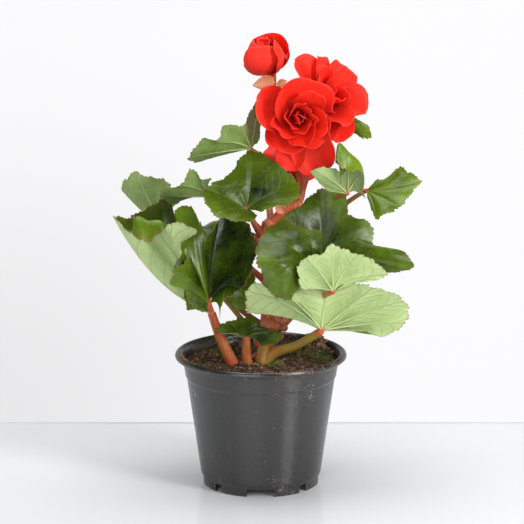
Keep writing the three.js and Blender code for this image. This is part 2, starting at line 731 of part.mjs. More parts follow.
function bladeGrid({ base: root, veins }) {
  const knees = veins.map(([knee]) => knee);
  const tips = veins.map(([, tip]) => tip);
  const reach = tips.map((tip) => tip.distanceTo(root));
  const longest = reach.indexOf(Math.max(...reach));
  const last = (veins.length - 1) * COLUMNS_PER_VEIN;
  const flat = [];
  for (let i = 0; i <= last; i++) {
    const place = i / COLUMNS_PER_VEIN;
    const [knee, tip] = [smooth(knees, place), smooth(tips, place)];
    flat.push(BLADE_ROWS.map((share) => veinPoint(root, knee, tip, share)));
  }
  // The blade swells between its ribs, which are every second vein from the longest, and its edge has teeth.
  return flat.map((column, i) => {
    const between = Math.abs(Math.sin((Math.PI / 2) * (i / COLUMNS_PER_VEIN - longest)));
    return column.map((p, j) => {
      const out = column[Math.min(j + 1, column.length - 1)].clone().sub(column[Math.max(j - 1, 0)]);
      const side = flat[Math.min(i + 1, last)][j].clone().sub(flat[Math.max(i - 1, 0)][j]);
      const up = out.clone().cross(side).normalize();
      const swell = between * QUILT * Math.sin(Math.PI * Math.min(BLADE_ROWS[j], 0.9));
      const tooth = j === column.length - 1 ? TOOTH * (i % COLUMNS_PER_VEIN ? 1 : -1) : 0;
      return p.clone().addScaledVector(up, swell).addScaledVector(out.normalize(), tooth);
    });
  });
}

function nearLeaf({ stalk, thick, base, veins }) {
  return { stalk: stalk.map(seen), thick, base: seen(base), veins: veins.map((vein) => vein.map(seen)) };
}

function farLeaf({ stalk, base, heading, pitch, long }) {
  const place = new THREE.Vector3(...base);
  const [rise, round] = [-pitch, heading].map(THREE.MathUtils.degToRad);
  const stand = new THREE.Euler(0, rise, round, "ZYX");
  const out = (k, share) => {
    const turn = THREE.MathUtils.degToRad(FAR_VEINS[k]);
    const length = FAR_LENGTHS[k] * share;
    const ripple = FAR_RIPPLE * share * (k % 2 ? 1 : -1);
    const height = FAR_ARCH * Math.sin(Math.PI * share) + ripple - FAR_DROOP * length ** 2;
    return new THREE.Vector3(length * Math.cos(turn), length * Math.sin(turn), height)
      .multiplyScalar(long)
      .applyEuler(stand)
      .add(place);
  };
  const veins = FAR_VEINS.map((_, k) => [out(k, FAR_KNEE), out(k, 1)]);
  return { stalk: stalk.map((p) => new THREE.Vector3(...p)), thick: FAR_THICK, base: place, veins };
}

function bract({ base, tip, wide, cup }, stems) {
  const [from, to] = [seen(base), seen(tip)];
  const along = to.clone().sub(from);
  const side = along.clone().cross(new THREE.Vector3(0, -1, 0)).normalize();
  const up = side.clone().cross(along).normalize();
  const grid = [];
  for (let i = -2; i <= 2; i++) {
    const column = BRACT_SHAPE.map((width, j) =>
      from
        .clone()
        .addScaledVector(along, j / (BRACT_SHAPE.length - 1))
        .addScaledVector(side, (i / 2) * width * wide)
        .addScaledVector(up, (i / 2) ** 2 * width * cup),
    );
    grid.push(column);
  }
  return largest(sheet(grid, BLADE, false).subtract(stems));
}

function smallBud(stems) {
  const { at, radius, stretch, lean } = SMALL_BUD;
  const body = solidOf(new THREE.SphereGeometry(radius, 8, 6).scale(1, 1, stretch).rotateY(lean));
  return body.translate(seen(at).toArray()).subtract(stems);
}

function blade(leaf, stems) {
  return largest(sheet(bladeGrid(leaf), BLADE, true).subtract(stems));
}

// Petals.

// A petal that leaves the core at one angle and ends at another, cupped across, waved along its rim and
// tilted sideways so that each lies over the next.
function petalGrid({ place, from, to, long, wide, cup, wave, root }) {
  const turn = THREE.MathUtils.degToRad(place);
  const tilt = Math.tan(THREE.MathUtils.degToRad(SHINGLE));
  const columns = [];
  for (let i = 0; i <= PETAL_COLUMNS; i++) {
    const across = (i / PETAL_COLUMNS) * 2 - 1;
    const column = [];
    const start = THREE.MathUtils.degToRad(from);
    let [radius, height] = [root * Math.sin(start), root * Math.cos(start)];
    for (let j = 0; j <= PETAL_ROWS; j++) {
      const share = j / PETAL_ROWS;
      const lean = THREE.MathUtils.degToRad(THREE.MathUtils.lerp(from, to, share));
      if (j) {
        radius += (long / PETAL_ROWS) * Math.sin(lean);
        height += (long / PETAL_ROWS) * Math.cos(lean);
      }
      const half = wide * (0.2 + 0.8 * Math.sin(Math.PI * Math.min(share ** 0.8, 0.62)));
      const shorten = long * 0.3 * share ** 3 * across ** 4;
      const bow = (across * half) / cup;
      const side = cup * Math.sin(bow);
      const lift =
        cup * (1 - Math.cos(bow)) + tilt * side + wave * share ** 2 * Math.sin(5 * across + 2 * turn);
      const r = radius - lift * Math.cos(lean) - shorten * Math.sin(lean);
      column.push(
        new THREE.Vector3(
          r * Math.cos(turn) - side * Math.sin(turn),
          r * Math.sin(turn) + side * Math.cos(turn),
          height + lift * Math.sin(lean) - shorten * Math.cos(lean),
        ),
      );
    }
    columns.push(column);
  }
  return columns;
}

function bloom({ at, towards, core, whorls }, stems) {
  const centre = seen(at);
  const axis = new THREE.Vector3(...towards).normalize();
  const stand = new THREE.Quaternion().setFromUnitVectors(new THREE.Vector3(0, 0, 1), axis);
  const pieces = [ball(centre, core)];
  for (const whorl of whorls) {
    for (let k = 0; k < whorl.count; k++) {
      const place = whorl.start + (k / whorl.count) * whorl.arc;
      const grid = petalGrid({ ...whorl, place, root: core * PETAL_ROOT });
      for (const column of grid) for (const p of column) p.applyQuaternion(stand).add(centre);
      pieces.push(sheet(grid, PETAL, false));
    }
  }
  return largest(joined(pieces).subtract(stems));
}

// The whole plant.

const FINISHES = {
  pot: { color: 0x3b3c3e, roughness: 0.33, metalness: 0 },
  soil: { color: 0x3a2a20, roughness: 0.9, metalness: 0 },
  stem: { color: 0xc4603f, roughness: 0.38, metalness: 0 },
  leaf: { color: 0x3f6420, roughness: 0.35, metalness: 0 },
  petal: { color: 0xe02616, roughness: 0.5, metalness: 0 },
};

const group = new THREE.Group();

function add(name, body, finish) {
  const mesh = body.getMesh();
  const geometry = new THREE.BufferGeometry();
  geometry.setAttribute("position", new THREE.BufferAttribute(new Float32Array(mesh.vertProperties), 3));
  geometry.setIndex(new THREE.BufferAttribute(new Uint32Array(mesh.triVerts), 1));
  geometry.computeVertexNormals();
  const node = new THREE.Mesh(geometry, new THREE.MeshStandardMaterial(FINISHES[finish]));
  node.name = name;
  group.add(node);
}

const leaves = [
  ...Object.entries(LEAVES).map(([name, leaf]) => [name, nearLeaf(leaf)]),
  ...Object.entries(FAR_LEAVES).map(([name, leaf]) => [name, farLeaf(leaf)]),
];

function stemBars(grow) {
  const bars = Object.values(STEMS).map(({ route, radii }) => bar(route.map(seen), radii, 8, 2, grow));
  for (const [, { stalk, thick, base }] of leaves) {
    const back = stalk.at(-1).clone().sub(base).setLength(BLADE / 2 + GAP);
    bars.push(bar([...stalk, base.clone().add(back)], thick, 5, 2, grow));
  }
  bars.push(ball(seen(CROWN.at), CROWN.radius + grow));
  return joined(bars);
}

const room = stemBars(GAP);
add("pot", pot(), "pot");
add("soil", soil(room), "soil");
add("stems", stemBars(0), "stem");
for (const [name, leaf] of leaves) add(name, blade(leaf, room), "leaf");
for (const [name, flower] of Object.entries(BLOOMS)) add(name, bloom(flower, room), "petal");
for (const [name, leaf] of Object.entries(BRACTS)) add(name, bract(leaf, room), "stem");
add("bud_small", smallBud(room), "petal");

export default group;
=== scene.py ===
"""A potted begonia: a 12 cm nursery pot of soil, the stems, twenty leaves and four double blooms.

Sizes are in millimetres until a mesh is made, +Z up, with the front towards -Y.
"""

import logging
import math
from dataclasses import KW_ONLY, dataclass
from enum import Enum

import bpy
import numpy as np
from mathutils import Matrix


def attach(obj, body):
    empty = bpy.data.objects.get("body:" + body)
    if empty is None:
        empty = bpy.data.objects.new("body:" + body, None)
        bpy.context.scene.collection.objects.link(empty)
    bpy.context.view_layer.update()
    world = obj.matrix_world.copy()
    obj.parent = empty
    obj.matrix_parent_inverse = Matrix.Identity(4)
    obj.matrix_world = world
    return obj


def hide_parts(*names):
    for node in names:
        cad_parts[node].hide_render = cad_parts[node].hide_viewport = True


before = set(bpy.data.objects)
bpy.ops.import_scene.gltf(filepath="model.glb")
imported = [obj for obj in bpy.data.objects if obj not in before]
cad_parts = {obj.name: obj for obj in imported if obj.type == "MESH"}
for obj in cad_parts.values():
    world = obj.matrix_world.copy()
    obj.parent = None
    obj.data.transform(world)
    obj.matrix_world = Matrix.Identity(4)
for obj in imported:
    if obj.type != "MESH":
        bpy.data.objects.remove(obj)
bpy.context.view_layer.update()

LOG = logging.getLogger("begonia")
MM = 0.001
BODY = "root"
TURN = 2 * math.pi
NOISE_FACTORS = (73856093, 19349663, 83492791)
BLUNT = 0.35  # how far a stalk's end stands out, in radii
SIDE_VEINS = 7.0  # pairs along each main vein, in the relief and in the colour

Array = np.ndarray
Material = bpy.types.Material
Colour = tuple[float, float, float]
Place = tuple[float, float, float]


# Numbers and vectors.


def unit(vectors: Array) -> Array:
    """Return the vectors at length one, taken along the last axis."""
    return vectors / np.maximum(np.linalg.norm(vectors, axis=-1, keepdims=True), 1e-9)


def stack(*parts: Array | float) -> Array:
    """Spread the parts to one shape and set them side by side on a new last axis."""
    return np.stack(np.broadcast_arrays(*parts), axis=-1)


def circle(count: int) -> Array:
    """Return evenly spaced angles of one turn, from 0 on."""
    return np.arange(count) / count * 2 * math.pi


def ball(rows: int, columns: int) -> Array:
    """Return the points of a ball of radius 1, rows from top to bottom and columns around."""
    fall, turn = np.linspace(0, math.pi, rows)[:, None], circle(columns)
    return stack(np.sin(fall) * np.cos(turn), np.sin(fall) * np.sin(turn), np.cos(fall))


def evenly(values: tuple | Array, share: Array) -> Array:
    """Read straight lines through values that stand evenly spread over the shares from 0 to 1."""
    return np.interp(share * (len(values) - 1), np.arange(len(values)), values)


def ease(low: float, high: float, values: Array) -> Array:
    """Rise along the cubic 3t^2 - 2t^3 from 0 where the values are low to 1 where they are high."""
    t = np.clip((values - low) / (high - low), 0.0, 1.0)
    return t * t * (3 - 2 * t)


def corner_values(cells: Array, seed: int) -> Array:
    """Give each whole-numbered cell one fixed number from -1 to 1, mixed from its indices and the seed."""
    mixed = np.full(cells.shape[:-1], seed * 2654435761 + 97, dtype=np.uint64)
    for axis, factor in enumerate(NOISE_FACTORS):
        mixed ^= cells[..., axis].astype(np.int64).astype(np.uint64) * np.uint64(factor)
        mixed = (mixed * np.uint64(6364136223846793005) + np.uint64(1442695040888963407)) >> np.uint64(7)
    return (mixed & np.uint64(0xFFFFFF)).astype(float) / 0x7FFFFF - 1.0


def value_noise(points: Array, size: float, seed: int) -> Array:
    """Give smooth noise from -1 to 1 in space.

    Each corner of a cubic lattice has a fixed value, and between the corners it is blended along the three
    axes in turn with the weight 3t^2 - 2t^3.

    Args:
        points: Places, with x, y and z on the last axis.
        size: Edge of a lattice cube, in the points' own unit.
        seed: Picks one of many such fields.

    Returns:
        One value for each point.
    """
    scaled = np.asarray(points, float) / size
    floor = np.floor(scaled)
    part = scaled - floor
    weight = part * part * (3 - 2 * part)
    total = np.zeros(scaled.shape[:-1])
    for corner in np.ndindex(2, 2, 2):
        share = np.prod(np.where(corner, weight, 1 - weight), axis=-1)
        total += share * corner_values(floor + np.array(corner), seed)
    return total


def layered_noise(points: Array, size: float, seed: int, layers: int = 3) -> Array:
    """Sum value noise over layers, each at half the size and half the height of the one before."""
    return sum(value_noise(points, size / 2**k, seed + k) / 2**k for k in range(layers))


def span(values: Array, places: Array) -> tuple[Array, ...]:
    """Find between which values each place lies.

    Args:
        values: The values at places 0, 1, 2 and so on. Past either end stands the mirror image of the
            value next to the end.
        places: The places.

    Returns:
        How far each place is from the value below it to the one above, and the values one below, below,
        above and one above.
    """
    ends = np.concatenate([2 * values[:1] - values[1:2], values, 2 * values[-1:] - values[-2:-1]])
    first = np.clip(np.floor(places).astype(int), 0, len(values) - 2)
    t = (places - first).reshape(places.shape + (1,) * (values.ndim - 1))
    return t, *(ends[first + k] for k in range(4))


def cubic(t: Array, start: Array, end: Array, slope_start: Array, slope_end: Array) -> Array:
    """Return the cubic that runs from start at t = 0 to end at t = 1 with the given slopes there."""
    return (
        start * (2 * t**3 - 3 * t**2 + 1)
        + slope_start * (t**3 - 2 * t**2 + t)
        + end * (3 * t**2 - 2 * t**3)
        + slope_end * (t**3 - t**2)
    )


def through(values: Array, places: Array) -> Array:
    """Read a smooth curve through values, whose slope at each is half the difference of its neighbours."""
    t, a, b, c, d = span(values, places)
    return cubic(t, b, c, (c - a) / 2, (d - b) / 2)


def stalk_points(route: Array, along: Array) -> tuple[Array, Array]:
    """Read a smooth curve through a route, and its directions.

    The slope at each point of the route is that of the parabola through it and its neighbours, spaced by the
    square roots of their distances, so that the curve makes no loops.

    Args:
        route: The points.
        along: Shares of the route from 0 to 1, where each span counts the same.

    Returns:
        The curve's points and its unit directions.
    """
    t, a, b, c, d = span(route, along * (len(route) - 1))
    gaps = [np.sqrt(np.linalg.norm(q - p, axis=-1, keepdims=True)) for p, q in ((a, b), (b, c), (c, d))]
    slope_b = ((b - a) / gaps[0] - (c - a) / (gaps[0] + gaps[1]) + (c - b) / gaps[1]) * gaps[1]
    slope_c = ((c - b) / gaps[1] - (d - b) / (gaps[1] + gaps[2]) + (d - c) / gaps[2]) * gaps[1]
    points = cubic(t, b, c, slope_b, slope_c)
    return points, unit(np.gradient(points, axis=0))


@dataclass(frozen=True)
class Sight:
    """The view from the front and a little above in which the plant is laid out.

    A place in it is (across, up, back): across and up are measured square to the line of sight in the plane
    through the sight point, and back is the depth behind the pot's axis.
    """

    drop: float = math.radians(12.1)
    distance: float = 1460.0
    side: float = 0.8
    height: float = 157.0
    up: float = 151.5
    lens: float = 145.0

    def places(self, seen: object) -> Array:
        """Turn places as seen into x, y and z, by following each line of sight to the plane y = back.

        Args:
            seen: One place or a nested list of places (across, up, back).

        Returns:
            The same nesting with x, y and z in millimetres.
        """
        across, up, back = np.moveaxis(np.asarray(seen, float), -1, 0)
        rise = (up - self.up) / self.distance
        ahead = rise * (self.distance + back * math.cos(self.drop)) - back * math.sin(self.drop)
        above = ahead / (math.cos(self.drop) + rise * math.sin(self.drop))
        depth = self.distance + back * math.cos(self.drop) - above * math.sin(self.drop)
        x = self.side + (across - self.side) * depth / self.distance
        return np.stack([x, back, self.height + above], axis=-1)

    def camera(self) -> None:
        """Make the camera of this view and set it as the scene's."""
        data = bpy.data.cameras.new("front_camera")
        data.lens, data.sensor_width, data.clip_end = self.lens, 36.0, 20.0
        camera = bpy.data.objects.new("front_camera", data)
        ahead, above = self.distance * math.cos(self.drop), self.distance * math.sin(self.drop)
        camera.location = (self.side * MM, -ahead * MM, (self.height + above) * MM)
        camera.rotation_euler = (math.pi / 2 - self.drop, 0.0, 0.0)
        bpy.context.collection.objects.link(camera)
        bpy.context.scene.camera = camera


SIGHT = Sight()


# Meshes.


class Shell:
    """Points and faces that grow patch by patch and end as one mesh.

    Each patch brings its points, and for each point any number of named measures that materials can read.
    """

    def __init__(self) -> None:
        """Start with no points."""
        self.points: list[Array] = []
        self.measures: list[dict[str, Array]] = []
        self.faces: dict[int, list[tuple[Array, Array, Array]]] = {3: [], 4: []}
        self.count = 0

    def add_points(self, points: Array, **measures: Array | float) -> Array:
        """Add points, x, y and z on the last axis, and for each measure one number or one for each point.

        Returns:
            Their indices, in the points' own nesting.
        """
        nest = points.shape[:-1]
        self.points.append(points.reshape(-1, 3))
        self.measures.append({k: np.broadcast_to(v, nest).reshape(-1) for k, v in measures.items()})
        ids = self.count + np.arange(len(self.points[-1])).reshape(nest)
        self.count += ids.size
        return ids

    def add_faces(self, corners: Array, uv: Array, slot: int = 0) -> None:
        """Add faces of three or four corners.

        Args:
            corners: Point indices, one row for each face.
            uv: The map's coordinates of each corner.
            slot: The material slot.
        """
        size = corners.shape[-1]
        rows = corners.reshape(-1, size)
        self.faces[size].append((rows, uv.reshape(-1, 2), np.full(len(rows), slot)))

    def add_grid(self, ids: Array, uv: Array | None = None, slot: int = 0, flip: bool = False) -> None:
        """Add the faces between neighbours of a grid of points.

        Where a whole row or column is one point, its faces have three corners.

        Args:
            ids: Point indices, a repeated first column closing a ring.
            uv: The map's coordinates at each grid place, or none to leave them at zero.
            slot: The material slot.
            flip: Turns the faces round.
        """
        uv = np.zeros(ids.shape + (2,)) if uv is None else uv
        low, high = slice(None, -1), slice(1, None)
        loops = [(low, low), (high, low), (high, high), (low, high)]
        if flip:
            loops.reverse()
        corners = np.stack([ids[a, b] for a, b in loops], axis=-1).reshape(-1, 4)
        places = np.stack([uv[a, b] for a, b in loops], axis=-2).reshape(-1, 4, 2)
        same = corners == np.roll(corners, -1, axis=1)
        whole = ~same.any(axis=1)
        self.add_faces(corners[whole], places[whole], slot)
        for side in range(4):
            pick = same[:, side] & (same.sum(axis=1) == 1)
            keep = [k for k in range(4) if k != side]
            self.add_faces(corners[pick][:, keep], places[pick][:, keep], slot)

    def add_rings(self, points: Array, uv: Array | None = None, flip: bool = False, **measures: object) -> None:
        """Add a surface of closed rings, of which the first and the last shrink to one point.

        Args:
            points: The rings on the first axis and their points on the second.
            uv: As add_grid takes it, with one place more around than there are points.
            flip: Turns the faces round.
            **measures: Measures of the points.
        """
        ids = self.add_points(points, **measures)
        ids = np.concatenate([ids, ids[:, :1]], axis=1)
        ids[0], ids[-1] = ids[0, 0], ids[-1, 0]
        self.add_grid(ids, uv, flip=flip)

    def mesh(self, name: str) -> bpy.types.Mesh:
        """Write everything into a new mesh in metres, smooth shaded, with the map and the measures."""
        made = bpy.data.meshes.new(name)
        sets = [f for f in self.faces.values() if f]
        faces = [np.concatenate([f[0] for f in s]) for s in sets]
        uv, slots = (np.concatenate([f[k] for s in sets for f in s]) for k in (1, 2))
        used, corners = np.unique(np.concatenate([f.ravel() for f in faces]), return_inverse=True)
        lengths = np.concatenate([np.full(len(f), f.shape[1]) for f in faces])
        made.vertices.add(len(used))
        made.vertices.foreach_set("co", (np.concatenate(self.points)[used] * MM).astype(np.float32).ravel())
        made.loops.add(len(corners))
        made.loops.foreach_set("vertex_index", corners.ravel().astype(np.int32))
        made.polygons.add(len(lengths))
        made.polygons.foreach_set("loop_start", np.concatenate([[0], np.cumsum(lengths)[:-1]]).astype(np.int32))
        made.polygons.foreach_set("material_index", slots)
        made.polygons.foreach_set("use_smooth", np.ones(len(lengths), dtype=bool))
        made.uv_layers.new(name="Surface").uv.foreach_set("vector", uv.astype(np.float32).ravel())
        for key in sorted(set().union(*self.measures)):
            values = [m.get(key, np.zeros(len(p))) for m, p in zip(self.measures, self.points)]
            layer = made.attributes.new(key, "FLOAT", "POINT")
            layer.data.foreach_set("value", np.concatenate(values)[used].astype(np.float32))
        made.update(calc_edges=True)
        made.validate()
        return made


def present(name: str, shell: Shell, nodes: list[str], materials: list[Material]) -> None:
    """Turn a shell into an object that stands for CAD nodes, and report it.

    Args:
        name: The object's name.
        shell: Its surface.
        nodes: The CAD nodes it replaces.
        materials: The materials, by the shell's slot numbers.
    """
    piece = bpy.data.objects.new(name, shell.mesh(name))
    for material in materials:
        piece.data.materials.append(material)
    bpy.context.collection.objects.link(piece)
    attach(piece, BODY)
    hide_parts(*nodes)
    LOG.info("%s: %d faces", name, len(piece.data.polygons))


def grid_normals(grid: Array) -> Array:
    """Return unit normals of a grid of points: the step along the second axis crossed with the first's."""
    return unit(np.cross(np.gradient(grid, axis=1), np.gradient(grid, axis=0)))


def add_sheet(shell: Shell, grid: Array, thick: object, uv: Array, lower: int, **measures: object) -> None:
    """Add a thin closed sheet about a grid of points.

    Both sides stand half the thickness off the grid along its normals, and a strip joins their rims. Where
    the first row is one point, the sides each end in one point there.

    Args:
        shell: Where to add it.
        grid: Middle surface, columns on the first axis, rows outwards on the second.
        thick: Thickness, one number or one for each grid point.
        uv: Map coordinates of the grid.
        lower: Material slot of the lower side and the rim. The upper side has slot 0.
        **measures: Measures of the grid points.
    """
    normals = grid_normals(grid)
    pole = np.allclose(grid[0, 0], grid[-1, 0])
    if pole:
        normals[:, 0] = unit(normals[:, 1].mean(axis=0))
    half = (np.broadcast_to(thick, grid.shape[:2]) / 2)[..., None]
    ids = []
    for sign, slot in ((1, 0), (-1, lower)):
        ids.append(shell.add_points(grid + sign * half * normals, **measures))
        if pole:
            ids[-1][:, 0] = ids[-1][0, 0]
        shell.add_grid(ids[-1], uv, slot, flip=sign > 0)
    everything, back = slice(None), slice(None, None, -1)
    rim = [(slice(0, 1), everything), (everything, slice(-1, None)), (slice(-1, None), back)]
    if not pole:
        rim.append((back, slice(0, 1)))
    for part in rim:
        edge = np.stack([side[part].ravel() for side in ids])
        shell.add_grid(edge, np.stack([uv[part].reshape(-1, 2)] * 2), lower)


def add_stalk(shell: Shell, centres: Array, heads: Array, radii: Array, **measures: Array) -> None:
    """Add a round stalk along a line of centres, closed by a blunt tip at each end.

    Each ring is centre + radius (cos a n + sin a m), where n is square to the direction and turns with it as
    little as it can, and m is the direction crossed with n.

    Args:
        shell: Where to add it.
        centres: The centre line.
        heads: Its unit directions.
        radii: The radius at each centre and side.
        **measures: Measures, one for each centre.
    """
    count, sides = radii.shape
    start = np.array([0.0, 1.0, 0.0]) if abs(heads[0, 1]) < 0.9 else np.array([1.0, 0.0, 0.0])
    normals = [unit(start - heads[0] * start.dot(heads[0]))]
    for head in heads[1:]:
        normals.append(unit(normals[-1] - head * normals[-1].dot(head)))
    normal = np.array(normals)
    turn = circle(sides)[:, None]
    ring = normal[:, None] * np.cos(turn) + np.cross(heads, normal)[:, None] * np.sin(turn)
    rows = np.r_[0, 0:count, count - 1]
    points = (centres[:, None] + ring * radii[..., None])[rows]
    for end, out in ((0, -1), (-1, 1)):
        points[end] = centres[end] + heads[end] * out * radii[end].mean() * BLUNT
    run = np.concatenate([[0], np.cumsum(np.linalg.norm(np.diff(centres, axis=0), axis=1))])[rows]
    uv = stack(np.linspace(0, 1, sides + 1), run[:, None])
    shell.add_rings(points, uv, True, **{k: v[rows][:, None] for k, v in measures.items()})


# Finishes.


@dataclass(frozen=True)
class Wire:
    """What a node gives out. Sums, differences and products with it make Math nodes."""

    graph: "Graph"
    socket: bpy.types.NodeSocket

    def __add__(self, other: object) -> "Wire":
        """Add a wire or a number."""
        return self.graph.math("ADD", self, other)

    def __sub__(self, other: object) -> "Wire":
        """Take a wire or a number away."""
        return self.graph.math("SUBTRACT", self, other)

    def __mul__(self, other: object) -> "Wire":
        """Multiply by a wire or a number."""
        return self.graph.math("MULTIPLY", self, other)

    def __truediv__(self, other: object) -> "Wire":
        """Divide by a wire or a number."""
        return self.graph.math("DIVIDE", self, other)

    def kept(self) -> "Wire":
        """Keep the result of this Math node between 0 and 1."""
        self.socket.node.use_clamp = True
        return self


class Graph:
    """A node tree in which nodes are made by calls that take wires or plain values and return wires."""

    def __init__(self, tree: bpy.types.NodeTree) -> None:
        """Write into this tree."""
        self.tree = tree

    def fill(self, node: bpy.types.Node, values: dict) -> None:
        """Link or set inputs of a node, by their names or numbers."""
        for key, value in values.items():
            socket = node.inputs[key]
            if isinstance(value, Wire):
                self.tree.links.new(value.socket, socket)
            else:
                socket.default_value = (*value, 1.0) if socket.type == "RGBA" else value

    def node(self, kind: str, inputs: dict | None = None, output: str | int = 0, **settings: object) -> Wire:
        """Make a node.

        Args:
            kind: The node's type without the words ShaderNode.
            inputs: What its inputs get, by their names or numbers.
            output: The output that is wanted.
            **settings: The node's own properties.

        Returns:
            The wire from that output.
        """
        made = self.tree.nodes.new("ShaderNode" + kind)
        for key, value in settings.items():
            setattr(made, key, value)
        self.fill(made, inputs or {})
        return Wire(self, made.outputs[output])

    def math(self, operation: str, *values: Wire | float) -> Wire:
        """Return the result of a Math node."""
        return self.node("Math", dict(enumerate(values)), operation=operation)

    def paint(self, colour: object, *coats: tuple[Wire, object]) -> Wire:
        """Lay coats over a colour, each given as its share and its colour."""
        for share, coat in coats:
            colour = self.node("Mix", {0: share, 6: colour, 7: coat}, 2, data_type="RGBA")
        return colour

    def fit(self, value: Wire, low: float, high: float, to_low: float = 0.0, to_high: float = 1.0) -> Wire:
        """Return a smooth step from to_low, where the value is low, to to_high, where it is high."""
        inputs = dict(enumerate((value, low, high, to_low, to_high)))
        return self.node("MapRange", inputs, interpolation_type="SMOOTHSTEP")

    def noise(self, vector: Wire, scale: Wire | float, detail: float = 3.0, roughness: float = 0.55) -> Wire:
        """Return noise of about 0 to 1."""
        inputs = {"Vector": vector, "Scale": scale, "Detail": detail, "Roughness": roughness}
        return self.node("TexNoise", inputs)

    def spots(self, vector: Wire, scale: Wire | float, feature: str = "F1") -> Wire:
        """Return the distance to the nearest of many scattered points, or to the edge of its cell, in cells."""
        return self.node("TexVoronoi", {"Vector": vector, "Scale": scale}, "Distance", feature=feature)

    def stretched(self, vector: Wire, scale: Place) -> Wire:
        """Return the vector with its parts multiplied."""
        return self.node("Mapping", {"Vector": vector, "Scale": scale})

    def parts(self, vector: Wire) -> list[Wire]:
        """Return a vector's three parts."""
        return [Wire(self, s) for s in self.node("SeparateXYZ", {0: vector}).socket.node.outputs]

    def measure(self, name: str) -> Wire:
        """Return one of the mesh's own measures."""
        return self.node("Attribute", output="Fac", attribute_name=name)

    def here(self) -> Wire:
        """Return the place on the piece, in metres."""
        return self.node("TexCoord", output="Object")

    def chart(self) -> Wire:
        """Return the piece's own map."""
        return self.node("UVMap", uv_map="Surface")

    def bump(self, height: Wire, strength: float, distance: float, sunk: bool = False) -> Wire:
        """Return the normal of a surface that a height raises, or sinks, by at most the distance in mm."""
        inputs = {"Height": height, "Strength": strength, "Distance": distance * MM}
        return self.node("Bump", inputs, invert=sunk)

    def call(self, group: bpy.types.NodeTree, **values: object) -> dict[str, Wire]:
        """Place a node group, give it its values and return its outputs."""
        made = self.tree.nodes.new("ShaderNodeGroup")
        made.node_tree = group
        self.fill(made, values)
        return {s.name: Wire(self, s) for s in made.outputs}


def new_group(name: str, inputs: dict[str, float | None], outputs: list[str]) -> tuple[Graph, dict, object]:
    """Make an empty shader node group.

    Args:
        name: Its name.
        inputs: For each input the number it starts with, or None for a vector.
        outputs: The names of its outputs, which are numbers.

    Returns:
        Its graph, its input wires by name, and its output node.
    """
    tree = bpy.data.node_groups.new(name, "ShaderNodeTree")
    for key, value in inputs.items():
        kind = "NodeSocketVector" if value is None else "NodeSocketFloat"
        made = tree.interface.new_socket(key, in_out="INPUT", socket_type=kind)
        if value is not None:
            made.default_value = value
    for key in outputs:
        tree.interface.new_socket(key, in_out="OUTPUT", socket_type="NodeSocketFloat")
    graph = Graph(tree)
    entry = tree.nodes.new("NodeGroupInput")
    return graph, {s.name: Wire(graph, s) for s in entry.outputs if s.name}, tree.nodes.new("NodeGroupOutput")


def mottle_group() -> bpy.types.NodeTree:
    """Blotches of two sizes: noise at the given scale, and a third of finer noise on top."""
    graph, inputs, leave = new_group("mottle", {"Place": None, "Scale": 60.0}, ["Value"])
    coarse = graph.noise(inputs["Place"], inputs["Scale"], 2.0)
    fine = graph.noise(inputs["Place"], inputs["Scale"] * 5.3)
    graph.fill(leave, {"Value": graph.fit(coarse * 0.67 + fine * 0.33, 0.3, 0.7)})
    return graph.tree


def vein_group() -> bpy.types.NodeTree:
    """Veins of a palmate leaf on its map, whose u counts the main veins and whose v runs from base to edge.

    The distance to a main vein is that of u to the nearest whole number times the spread, which is the
    width of one step of u in millimetres. Side veins leave a main vein in pairs that stand half a step
    apart, and bend outwards as v less half of the distance in u to the power 0.8. A mask is 1 on a vein and
    falls off as the square of the distance over the vein's width.
    """
    inputs = {"Map": None, "Spread": 10.0, "Reach": 40.0, "Pairs": 6.0}
    graph, inputs, leave = new_group("leaf_veins", inputs, ["Main", "Side", "Net"])
    u, v, _ = graph.parts(inputs["Map"])
    offset = graph.math("FRACT", u + 0.5) - 0.5
    far = graph.math("ABSOLUTE", offset)

    def ridge(distance: Wire, width: Wire) -> Wire:
        """Return the mask of a vein."""
        ratio = distance / width
        return graph.math("SUBTRACT", 1.0, ratio * ratio).kept()

    bent = v - graph.math("POWER", far, 0.8) * 0.5
    step = bent * inputs["Pairs"] + graph.math("GREATER_THAN", offset, 0.0) * 0.5
    near = graph.math("ABSOLUTE", graph.math("FRACT", step + 0.5) - 0.5)
    side = ridge(near * (inputs["Reach"] / inputs["Pairs"]), graph.fit(far, 0.0, 0.5, 0.5, 0.24))
    cells = graph.spots(graph.here(), 420.0, "DISTANCE_TO_EDGE")
    masks = {
        "Main": ridge(far * inputs["Spread"], graph.fit(v, 0.0, 1.0, 0.95, 0.3)),
        "Side": side * graph.fit(v, 0.1, 0.3),
        "Net": graph.fit(cells, 0.0, 0.16, 1.0, 0.0),
    }
    graph.fill(leave, masks)
    return graph.tree


def speck_group() -> bpy.types.NodeTree:
    """Scattered dirt: small round specks, kept where a coarse noise plus the given amount is high."""
    graph, inputs, leave = new_group("specks", {"Place": None, "Scale": 400.0, "Amount": 0.0}, ["Mask"])
    patches = graph.noise(inputs["Place"], inputs["Scale"] * 0.12, 3.0, 0.7)
    where = graph.fit(patches + inputs["Amount"], 0.62, 0.78)
    aside = graph.node("VectorMath", {0: inputs["Place"], 1: (0.0007, 0.0007, 0.0007)}, operation="ADD")
    ragged = graph.spots(aside, inputs["Scale"]) + graph.noise(inputs["Place"], 1500.0) * 0.4
    graph.fill(leave, {"Mask": where * graph.fit(ragged, 0.45, 0.6, 1.0, 0.0)})
    return graph.tree


class Effects:
    """The node groups that several finishes share, each made once."""

    def __init__(self) -> None:
        """Make the groups."""
        self.mottle = mottle_group()
        self.veins = vein_group()
        self.specks = speck_group()


